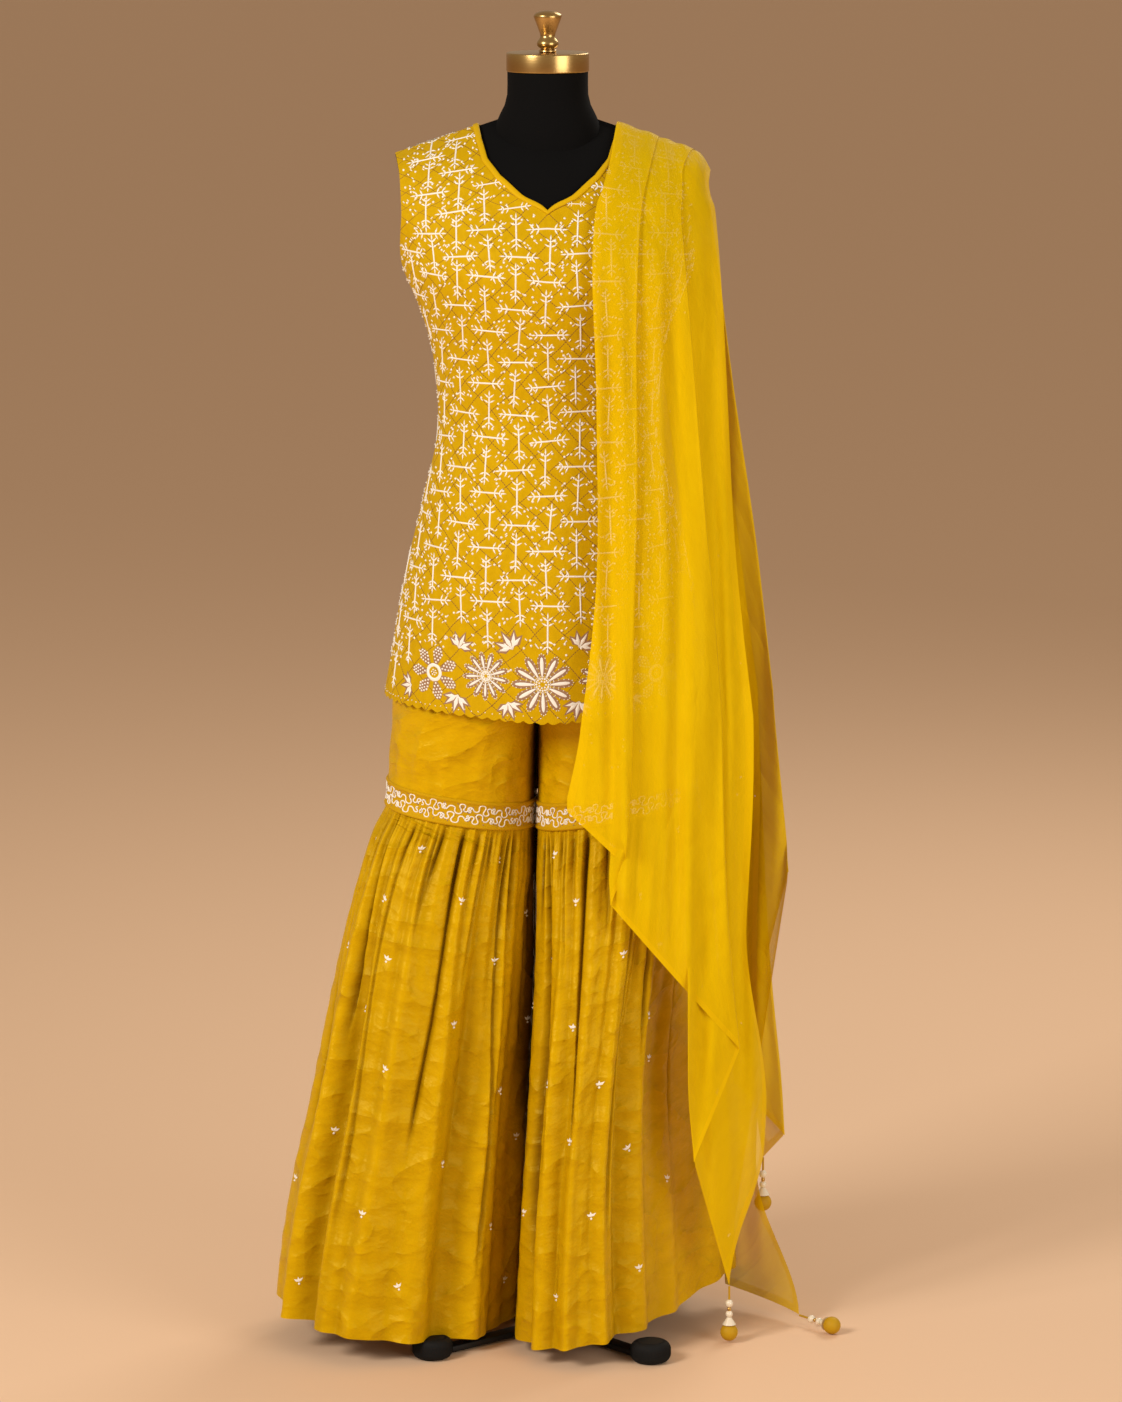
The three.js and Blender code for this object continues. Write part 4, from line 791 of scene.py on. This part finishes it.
# What other layers cover counts as hidden in front, over the chest.
covered = np.select([layer < 0.9, layer < 1.9, layer < 2.1, layer < 3.9],
                    [0, 1, smooth((first_fold - x) / 5), 1], smooth((third_fold - x) / 5))
hidden = np.maximum(covered, 0.14) * smooth((z - 850) / 200) * smooth((60 - points[..., 1]) / 60)
# The soft folds die out at the shoulder and at both ends.
rows = np.arange(len(points))[:, None]
easing = smooth((1400 - z) / 260) * (1 + 0.5 * smooth((900 - z) / 400))
easing = easing * smooth((np.minimum(rows, rows[::-1]) + 1) / 14)
waves = (2.3 * np.sin(x / 6.2 + 0.9 * np.sin(z / 190)) + 1.7 * np.sin(x / 10.5 - z / 240 + 1.1)
         + 1.3 * np.sin(x / 3.9 + z / 310 + 2.0) + 1.2 * np.sin(x / 17 + z / 71))
points[..., 1] += side * easing * (waves + 3.4)
points[..., 0] += easing * (1.2 * np.sin(z / 63 + x / 25) + 1.6 * np.sin(z / 150 + layer))
SHOULDER_END, SHOULDER_DROP = 168, 15
over = np.clip((x - SHOULDER_END) / 18, 0, 1.3)
points[..., 2] -= SHOULDER_DROP * over**2 * smooth((z - 1340) / 40)
points[..., 2] += 0.7 * np.sin(x / 4.1 + 2 * np.sin(x / 23)) * smooth((z - 1370) / 30)
across, along = run(points, 1), run(points)
from_end = np.minimum(along, along[-1] - along)
from_side = np.minimum(across, across[:, -1:] - across)
dupatta_cloth = material("dupatta_cloth", (0.86, 0.56, 0.002), Roughness=0.5, Specular_IOR_Level=0.15,
                         Alpha=0.7, Specular_Tint=SILK_SHINE)
tones = use_noise(dupatta_cloth, 60, (1, 0.4, 1), 0.0010, (0.74, 0.475, 0.001), (0.85, 0.592, 0.002),
                  creases=0.0014)
HEM = 0.01
tree = dupatta_cloth.node_tree
hem = attribute(tree, "hem")
sheer = add_node(tree, "ShaderNodeMapRange", {
    "Value": hem, "From Min": HEM - 0.0005, "From Max": HEM + 0.0005, "To Min": 0.9, "To Max": 0.8})
# Under layers over the chest are thinner to the eye, so the kurti's threads show faintly.
thin = work(tree, "MULTIPLY_ADD", attribute(tree, "hidden"), -0.8, 1)
feed(dupatta_cloth, "Alpha", work(tree, "MULTIPLY", sheer.outputs["Result"], thin))
inside = work(tree, "GREATER_THAN", hem, HEM + 0.0002)
feed(dupatta_cloth, "Base Color", mixed(tree, inside, (0.78, 0.51, 0.0015, 1), tones))
dupatta = mesh_piece("dupatta_cloth", points, grid_faces(*points.shape[:2], turned=True), dupatta_cloth,
                     cut=cut_at(across, along), hem=np.minimum(from_end, from_side) / 1000, hidden=hidden)
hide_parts("dupatta_front", "dupatta_shoulder", "dupatta_back")
scarf_surface = {"P": points, "out": -1}

# Tassels: a gold cord, two pearls with small gold beads between, a bead cap and a cloth-covered ball.
# Two hang from corners of the dupatta and one lies on the floor at the back corner.
pearl = material("pearl", (0.82, 0.74, 0.58), Roughness=0.22, Coat_Weight=0.6)
gold = material("gold_bead", (0.62, 0.40, 0.12), Roughness=0.3, Metallic=1.0)
ball_cloth = material("ball_cloth", (0.50, 0.285, 0.003), Roughness=0.6, Specular_IOR_Level=0.25)
# Each bead's place down the string, its radius and its length, in millimetres.
STRING = (("cord", 8, 1.2, 16), ("pearl", 20.8, 4.7, 0), ("gold", 25.8, 2.0, 0), ("gold", 27.6, 2.4, 0),
          ("gold", 29.4, 2.0, 0), ("pearl", 33.8, 4.3, 0), ("cap", 41.9, 8.2, 8.6), ("ball", 55.9, 10.5, 0))
FINISH = {"cord": ball_cloth, "ball": ball_cloth, "cap": pearl, "pearl": pearl, "gold": gold}
LYING = math.radians(41)
for name in ("front", "back", "floor"):
    low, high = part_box(f"tassel_{name}")
    toward, turn = np.array([0, 0, -1]), (0, 0, 0)
    start = np.array([(low.x + high.x) / 2, (low.y + high.y) / 2, high.z])
    if name == "floor":
        # It lies along a line from the cloth's corner out to the ball.
        toward, turn = np.array([math.sin(LYING), -math.cos(LYING), 0]), (math.radians(-90), 0, LYING)
        start = np.array([low.x + 0.0011, high.y - 0.0007, 0.011])
    parts = []
    for kind, down, size, length in STRING:
        place = start + toward * down / 1000
        bpy.ops.object.select_all(action="DESELECT")
        if kind == "cord":
            bpy.ops.mesh.primitive_cylinder_add(vertices=12, radius=size / 1000, depth=length / 1000,
                                                location=place, rotation=turn)
        elif kind == "cap":
            bpy.ops.mesh.primitive_cone_add(vertices=24, radius1=size / 1000, radius2=0.0026,
                                            depth=length / 1000, location=place, rotation=turn)
        else:
            bpy.ops.mesh.primitive_uv_sphere_add(segments=24, ring_count=14, radius=size / 1000,
                                                 location=place)
        part = bpy.context.object
        part.data.materials.append(FINISH[kind])
        bpy.ops.object.shade_smooth_by_angle(angle=math.radians(40))
        parts.append(part)
    tassel = join(parts, f"tassel_{name}_beads")
    bpy.ops.object.transform_apply(location=True, rotation=True, scale=True)
    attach(tassel, "root")
    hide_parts(f"tassel_{name}")

# The hand embroidery on the kurti: padded white bars with a sprig at each end, upright and level by turns,
# white beads between them, and a border of large beaded flowers and leaves above the hem.
white = material("white_thread", (0.88, 0.84, 0.76), Roughness=0.55, Specular_IOR_Level=0.3)
tan = material("tan_thread", (0.31, 0.165, 0.085), Roughness=0.5)
silver = material("silver_bead", (0.86, 0.80, 0.70), Roughness=0.3, Metallic=0.15)
STEP, GRID_ROWS, GRID_COLUMNS, HALF_WIDTH, PETAL_STEPS = 3, 260, 170, 246, 12


def even_grid(side):
    """The panel's surface on even steps across and along, with the widths where cloth begins and ends."""
    rows = body_rows(np.linspace(0, ROWS - 1, GRID_ROWS))
    turn = np.linspace(0, math.pi / 2, GRID_COLUMNS)
    half = on_body(side, rows, rows["reach"][:, None] * np.sin(turn) ** (2 / ROUND))
    across, along = run(half, 1), run(half[:, 0])
    u, v = np.arange(0, HALF_WIDTH, STEP), np.arange(0, along[-1], STEP)
    wide = np.stack([[np.interp(u, places, row[:, c]) for c in range(3)]
                     for places, row in zip(across, half)])
    even = np.stack([[np.interp(v, along, wide[:, c, k]) for k in range(len(u))] for c in range(3)], -1)
    even = even.transpose(1, 0, 2)
    full = np.concatenate([even[:, :0:-1] * [-1, 1, 1], even], 1)
    _, widths, lengths = panel(side)
    return {"P": full, "u0": -float(u[-1]), "step": STEP, "out": -side, "v": lengths[:, 0],
            "neck": widths[:, 0], "edge": widths[:, -1]}


def lay(surface, u, v, lift):
    """Points on a surface at u across and v along it, raised by lift."""
    P, step = surface["P"], surface.get("step", 1)
    a = np.clip((u - surface.get("u0", 0)) / step, 0, P.shape[1] - 1.001)
    b = np.clip(v / step, 0, P.shape[0] - 1.001)
    i, j = a.astype(int), b.astype(int)
    s, t = (a - i)[..., None], (b - j)[..., None]
    p00, p10, p01, p11 = P[j, i], P[j, i + 1], P[j + 1, i], P[j + 1, i + 1]
    point = (p00 * (1 - s) + p10 * s) * (1 - t) + (p01 * (1 - s) + p11 * s) * t
    du, dv = (p10 - p00) * (1 - t) + (p11 - p01) * t, (p01 - p00) * (1 - s) + (p11 - p10) * s
    normal = np.cross(du, dv) * surface["out"]
    normal /= np.maximum(np.linalg.norm(normal, axis=-1, keepdims=True), 1e-9)
    return point + normal * np.asarray(lift)[..., None], du, dv


def stamp(surface, places, shape):
    """Lays one small shape at each place (u, v, turn in degrees, size) of a surface."""
    places, (form_points, form_faces) = np.array(places, float), shape
    u, v, size = places[:, 0], places[:, 1], places[:, 3:4]
    c, s = np.cos(np.radians(places[:, 2:3])), np.sin(np.radians(places[:, 2:3]))
    form_points = np.array(form_points, float)
    _, du, dv = lay(surface, u, v, np.zeros_like(u))
    step = surface.get("step", 1)
    su, sv = (np.linalg.norm(d, axis=-1)[:, None] / step for d in (du, dv))
    a = (form_points[:, 0] * c - form_points[:, 1] * s) * size / np.maximum(su, 0.05)
    b = (form_points[:, 0] * s + form_points[:, 1] * c) * size / np.maximum(sv, 0.05)
    laid, _, _ = lay(surface, u[:, None] + a, v[:, None] + b, form_points[:, 2] * size)
    n = len(form_points)
    return laid.reshape(-1, 3), [[k * n + i for i in f] for k in range(len(places)) for f in form_faces]


def joined(name, parts, thread):
    """One piece of all the stamped shapes."""
    return mesh_piece(name, *together(*parts), thread)


def together(*shapes):
    """One shape of several: all their points, and their faces counted on."""
    points, faces = [], []
    for some, more in shapes:
        faces += [[len(points) + i for i in f] for f in more]
        points += [tuple(p) for p in some]
    return points, faces


def evenly_round(r, count):
    """Even places round a circle."""
    return [(r * math.cos(a), r * math.sin(a)) for a in np.arange(count) * 2 * math.pi / count]


def leaf(x, y, turn, length, wide, high=0.9):
    """A raised leaf from its foot at (x, y), turned by degrees."""
    c, s = math.cos(math.radians(turn)), math.sin(math.radians(turn))
    outline = [(0, 0, 0.15), (0.45, -wide, 0.15), (1, 0, 0.15), (0.45, wide, 0.15), (0.45, 0, high)]
    points = [(x + (a * length) * c - b * s, y + (a * length) * s + b * c, h) for a, b, h in outline]
    return points, [(0, 1, 4), (1, 2, 4), (2, 3, 4), (3, 0, 4)]


def thread_line(path, wide, high):
    """A raised cord along a path: half its width to each side."""
    path = np.array(path, float)
    along = np.gradient(path, axis=0)
    across = np.stack([-along[:, 1], along[:, 0]], 1) / np.linalg.norm(along, axis=1)[:, None]
    points = []
    for p, q in zip(path, across):
        points += [(*(p - q * wide), 0.1), (*p, high), (*(p + q * wide), 0.1)]
    faces = []
    for k in range(len(path) - 1):
        for c in (0, 1):
            faces.append((3 * k + c, 3 * k + 3 + c, 3 * k + 4 + c, 3 * k + 1 + c))
    return points, faces


def dot(x, y, r, high=None):
    """A bead as a five-sided cone."""
    ring = [(x + a, y + b, 0.1) for a, b in evenly_round(r, 5)]
    return [*ring, (x, y, high or r * 1.3)], [(k, (k + 1) % 5, 5) for k in range(5)]


def petal_path(turn, r0, r1, wide, count=PETAL_STEPS):
    """Places round a petal that reaches from r0 to r1 and is widest towards its tip."""
    t = np.linspace(0, 2 * math.pi, count, endpoint=False)
    a = r0 + (r1 - r0) * (0.5 - 0.5 * np.cos(t))
    b = wide * np.sin(t) * (0.55 + 0.45 * (a - r0) / (r1 - r0))
    c, s = math.cos(math.radians(turn)), math.sin(math.radians(turn))
    return np.stack([a * c - b * s, a * s + b * c], 1)


def petal(turn, r0, r1, wide, low=0.2, high=1.0):
    """A petal raised in its middle."""
    path = petal_path(turn, r0, r1, wide)
    middle = path.mean(0)
    faces = [(k, (k + 1) % PETAL_STEPS, PETAL_STEPS) for k in range(PETAL_STEPS)]
    return [*[(*p, low) for p in path], (*middle, high)], faces


def flower(count, r0, r1, wide):
    """Tan petals, a padded white petal on each, and the beads round them and round the heart."""
    turns = [360 * k / count for k in range(count)]
    ground = [petal(t, r0, r1, wide * 1.15) for t in turns]
    padded = [petal(t, r0 + 0.6, r1 - 3, wide * 0.46, 0.8, 2.4) for t in turns]
    edge = [dot(*p, 0.8, 1.5) for t in turns for p in petal_path(t, r0, r1 + 0.6, wide, 14)]
    heart = [dot(*p, 1.3, 2.0) for r, n in ((r0 - 1, 16), (r0 / 2, 7)) for p in evenly_round(r, n)]
    return together(*ground), together(*padded, *heart), together(*edge)


# Beads that fill a lobe, row by row: share of the way out, and places across.
LOBE_BEADS = ((0.1, (0,)), (0.27, (-2.2, 2.2)), (0.45, (-4.2, 0, 4.2)), (0.63, (-5.4, -1.8, 1.8, 5.4)),
              (0.8, (-3.6, 0, 3.6)), (0.95, (-1.6, 1.6)))


def round_flower(lobes, ring, reach):
    """A white ring with tan lobes round it, each filled with white beads."""
    circle = evenly_round(ring, 24)
    circle = thread_line([*circle, circle[0]], 2, 1.6)
    beads = [dot(*p, 1.1) for r, n in ((0, 1), (3, 6)) for p in evenly_round(r, n)]
    for cos, sin in evenly_round(1, lobes):
        for out, places in LOBE_BEADS:
            r = ring + 2 + out * (reach - ring)
            beads += [dot(r * cos - across * sin, r * sin + across * cos, 1.5, 2.2) for across in places]
    lobe = [petal(360 * k / lobes, ring, reach + 3.5, 7.2, 0.2, 0.6) for k in range(lobes)]
    return together(*lobe), circle, together(*beads)


sprig = [leaf(0, end * y, end * turn, length, 1.05, 1.3) for end in (1, -1)
         for y, turn, length in ((15.5, 90, 8), (13.8, 40, 8), (13.8, 140, 8), (8.2, 28, 8), (8.2, 152, 8))]
bar = together(thread_line([(0, y) for y in (-16, -8, 0, 8, 16)], 0.95, 1.2), *sprig)
buds = ((0, 90, 16), (0, 128, 15), (0, 52, 15), (1, 165, 12), (1, 15, 12))
spray_ground = together(*[leaf(0, 2 * k, turn, length + 2, 3.7, 0.5) for k, turn, length in buds])
spray = together(*[leaf(0, 2 * k, turn, length, 2.0, 1.7) for k, turn, length in buds])
dash = thread_line([(-1.6, 0), (1.6, 0)], 0.6, 0.9)
FLOWERS = {"big": flower(12, 8, 35, 5.6), "middle": flower(13, 6, 27, 3.8), "round": round_flower(7, 8.5, 28)}
# Each flower of the border: its kind, its place across and up, and the room it takes.
BORDER = {
    "front": [("big", -6, 45, 35), ("middle", -72, 50, 26), ("middle", 64, 48, 26), ("round", -137, 47, 31),
              ("round", 130, 47, 31)],
    "back": [("big", 0, 45, 35), ("middle", -68, 50, 26), ("middle", 68, 48, 26), ("round", -134, 47, 31),
             ("round", 134, 47, 31)],
}
# Sprays of leaves between the flowers: place across and up, turn and size.
SPRAYS = [(-106, 24, 165, 1.35), (-46, 22, 200, 1.25), (-40, 84, 35, 1.4), (36, 24, 170, 1.35),
          (36, 86, -30, 1.25), (97, 24, 195, 1.3), (-105, 80, -25, 1.2), (99, 76, 20, 1.2),
          (-170, 26, 100, 1.2), (163, 26, -90, 1.2)]
# The rows of bars start above the border and are spaced across and up by these steps.
FIRST_ROW, ACROSS, UP = 104, 35, 31.5
# Half the room that a bar with its sprigs takes, along and across it.
BAR_LONG, BAR_WIDE = 23, 8


def on_cloth(surface, u, v):
    """Whether a bead is clear of the panel's sides and of the neck's binding."""
    edge = np.interp(v, surface["v"], surface["edge"])
    neck = np.interp(v + 13, surface["v"], surface["neck"])
    return abs(u) < edge - 4 and (neck < 1 or abs(u) > neck + 7)


# Each bar is as large as its place allows, and beads and short stitches fill the ground between the bars.
rng = np.random.default_rng(7)
for side, name in ((-1, "front"), (1, "back")):
    surface = even_grid(side)
    top = surface["v"][-1]
    bars, dots, dashes = [], [], []
    for j in range(-2, 25):
        for i in range(-7, 8):
            u, v = i * ACROSS + 3 * math.sin(j * 1.9), FIRST_ROW + j * UP + 3 * math.sin(i * 2.3)
            level = (i + j) % 2
            for size in (1.0, 0.82, 0.64, 0.5):
                wide, tall = BAR_WIDE * size, BAR_LONG * size
                if level:
                    wide, tall = tall, wide
                edge = np.interp([v - tall, v + tall], surface["v"], surface["edge"]).min()
                neck = np.interp(v + tall, surface["v"], surface["neck"])
                free = all(math.hypot(u - a, v - b) > r + 3 + 15 * size for _, a, b, r in BORDER[name])
                free &= all(math.hypot(u - a, v - b) > 17 + 14 * size for a, b, _, _ in SPRAYS)
                in_cloth = abs(u) + wide < edge - 1 and v + tall < top - 3 and v - tall > 14
                if in_cloth and free and (neck < 1 or abs(u) - wide > neck + 5):
                    turn = 90 * level + rng.normal(0, 2.5)
                    bars.append((u, v, turn, size * (0.98 + 0.06 * rng.random())))
                    break
            for a, b in ((0.5, 0.5), (0.5, 0.2), (0.22, 0.5), (0.8, 0.5), (0.5, 0.8)):
                p, q = (i + a) * ACROSS + rng.normal(0, 2), FIRST_ROW + (j + b) * UP + rng.normal(0, 2)
                free = all(math.hypot(p - c, q - d) > r + 3 for _, c, d, r in BORDER[name])
                if on_cloth(surface, p, q) and 8 < q < top - 5 and free:
                    dots.append((p, q, 0, 1.0))
                    dash_u, dash_v = p + rng.normal(0, 5), min(q + rng.normal(0, 5), top - 5)
                    dashes.append((dash_u, dash_v, 45 + 90 * (i % 2), 1.0))
    dashes = [place for place in dashes if on_cloth(surface, place[0], place[1])]
    grounds, paddings, edges = [], [], []
    for kind, u, v, reach in BORDER[name]:
        place = [(u, v, 8 + u, 1)]
        for kept, shape in zip((grounds, paddings, edges), FLOWERS[kind]):
            kept.append(stamp(surface, place, shape))
    edge_of = np.interp([v for _, v, _, _ in SPRAYS], surface["v"], surface["edge"])
    sprays = [place for place, edge in zip(SPRAYS, edge_of) if abs(place[0]) + 15 < edge]
    threads = joined(f"kurti_{name}_thread", [
        stamp(surface, bars, bar), stamp(surface, sprays, spray), stamp(surface, dashes, dash),
        *paddings], white)
    ground = joined(f"kurti_{name}_ground", [stamp(surface, sprays, spray_ground), *grounds], tan)
    full = both_halves(*panel(side))[0]
    along_hem = [(c, 1.2, 0, 1) for c in range(2, full.shape[1] - 2, 3) if abs(c - full.shape[1] / 2) > 1]
    pearls = joined(f"kurti_{name}_pearls", [
        stamp(surface, dots, dot(0, 0, 1.6)), *edges,
        stamp({"P": full, "out": -side}, along_hem, dot(0, 0, 0.8))], silver)

# The knee bands carry a white cord that curls back and forth with small brown beads on both sides,
# and the silk is scattered with tiny three-leaved sprigs. The dupatta has a few single sequins.
LOOP, CURL_TALL, CURL_APART = 58, 12.5, 5.4
SPRIG_ROWS, SPRIGS_ROUND, SEQUINS = 8, 6, 90
# The cord's line winds on with a heading that swings, and its height is brought to the band's.
way = np.linspace(0, 7, 99)
slow = 4 * math.pi * way / 7
swing = 1.78 + 0.34 * np.sin(slow + 1)
heading = swing * np.sin(2 * math.pi * way + 1.1 * np.sin(slow)) + 0.5 * np.sin(1.5 * slow)
curl = np.cumsum(np.stack([np.cos(heading), np.sin(heading)], 1), 0)
curl -= curl[0]
curl[:, 1] -= curl[-1, 1] * np.linspace(0, 1, len(curl))
curl[:, 0] = curl[:, 0] / curl[-1, 0] * LOOP - LOOP / 2
curl[:, 1] = (curl[:, 1] - curl[:, 1].mean()) / np.ptp(curl[:, 1]) * CURL_TALL
curl_cord = together(thread_line(curl + [0, CURL_APART], 0.75, 1.2),
                     thread_line(-curl - [0, CURL_APART], 0.75, 1.2))
curl_dots = together(*[dot(x, (y + 5 * k) % 22 - 11, 0.9) for k, (x, y) in enumerate(curl[::3])])
buti = together(leaf(0, 0, 90, 6, 1.6, 1.2), leaf(0, 0, 142, 7, 1.5, 1.2), leaf(0, 0, 38, 7, 1.5, 1.2),
                dot(0, -2.4, 1.6))
for leg in ("left", "right"):
    surface = band_surface[leg]
    middle = surface["P"][10]
    round_way = run(middle)
    count = round(round_way[-1] / LOOP)
    columns = np.interp((np.arange(count) + 0.5) * round_way[-1] / count, round_way, range(len(round_way)))
    places = [(c, 9.5, 0, 1.0) for c in columns]
    cords = joined(f"knee_band_{leg}_cord", [stamp(surface, places, curl_cord)], white)
    beads = joined(f"knee_band_{leg}_beads", [stamp(surface, places, curl_dots)], tan)
    surface = flare_surface[leg]
    places = []
    for j in range(SPRIG_ROWS):
        for i in range(SPRIGS_ROUND):
            c = (i + 0.5 * (j % 2) + 0.35 * rng.random()) / SPRIGS_ROUND * (FLARE_COLUMNS - 1)
            r = 8 + j * 17.4 + 7 * rng.random()
            if 4 < c < FLARE_COLUMNS - 6:
                places.append((c, r, rng.normal(0, 14), 1.0))
    joined(f"flare_{leg}_sprigs", [stamp(surface, places, buti)], white)
LAYER_COLUMNS = STRIP_STEPS + TURN_STEPS
places = [(rng.integers(3, 24) + LAYER_COLUMNS * rng.integers(0, LAYERS), rng.integers(12, 300), 0, 1.0)
          for _ in range(SEQUINS)]
joined("dupatta_sequins", [stamp(scarf_surface, places, dot(0, 0, 1.3, 0.6))], silver)

# The room: a pale painted floor that runs far back, and soft light from both sides and from behind, as in a
# studio. The camera stands well back, a little above the form, and looks down at it.
floor_paint = material("floor_paint", (0.80, 0.55, 0.36), Roughness=0.85)
bpy.ops.object.select_all(action="DESELECT")
bpy.ops.mesh.primitive_plane_add(size=300, location=(0, 0, 0))
floor = bpy.context.object
floor.name = "floor"
floor.data.materials.append(floor_paint)
world = bpy.data.worlds.new("room")
bpy.context.scene.world = world
world.use_nodes = True
world.node_tree.nodes["Background"].inputs["Color"].default_value = (0.95, 0.75, 0.56, 1)
world.node_tree.nodes["Background"].inputs["Strength"].default_value = 0.42
LIT_HEIGHT = 0.85
for name, place, size, watts, colour in (
        ("key", (-2.8, -2.7, 2.8), 1.3, 130, (1.0, 0.96, 0.90)),
        ("fill", (2.8, -3.2, 1.6), 2.4, 74, (1.0, 0.97, 0.93)),
        ("rim", (1.6, 2.4, 3.0), 1.6, 45, (1.0, 0.95, 0.88))):
    lamp = bpy.data.lights.new(name, "AREA")
    lamp.energy, lamp.size, lamp.color = watts, size, colour
    lit = bpy.data.objects.new(name, lamp)
    lit.location = place
    aim = np.array([0, 0, LIT_HEIGHT]) - np.array(place)
    lit.rotation_euler = (math.atan2(math.hypot(aim[0], aim[1]), -aim[2]), 0, math.atan2(-aim[0], aim[1]))
    bpy.context.collection.objects.link(lit)
CAMERA_ASIDE, CAMERA_BACK, CAMERA_HIGH, LOOKS_DOWN = 0.01521, 6.5, 1.93, 10.2
lens = bpy.data.cameras.new("camera")
lens.lens, lens.sensor_width = 144.944, 36
camera = bpy.data.objects.new("camera", lens)
camera.location = (AXIS[0] + CAMERA_ASIDE, AXIS[1] - CAMERA_BACK, CAMERA_HIGH)
camera.rotation_euler = (math.radians(90 - LOOKS_DOWN), 0, 0)
bpy.context.collection.objects.link(camera)
bpy.context.scene.camera = camera
bpy.context.scene.view_settings.view_transform = "Standard"
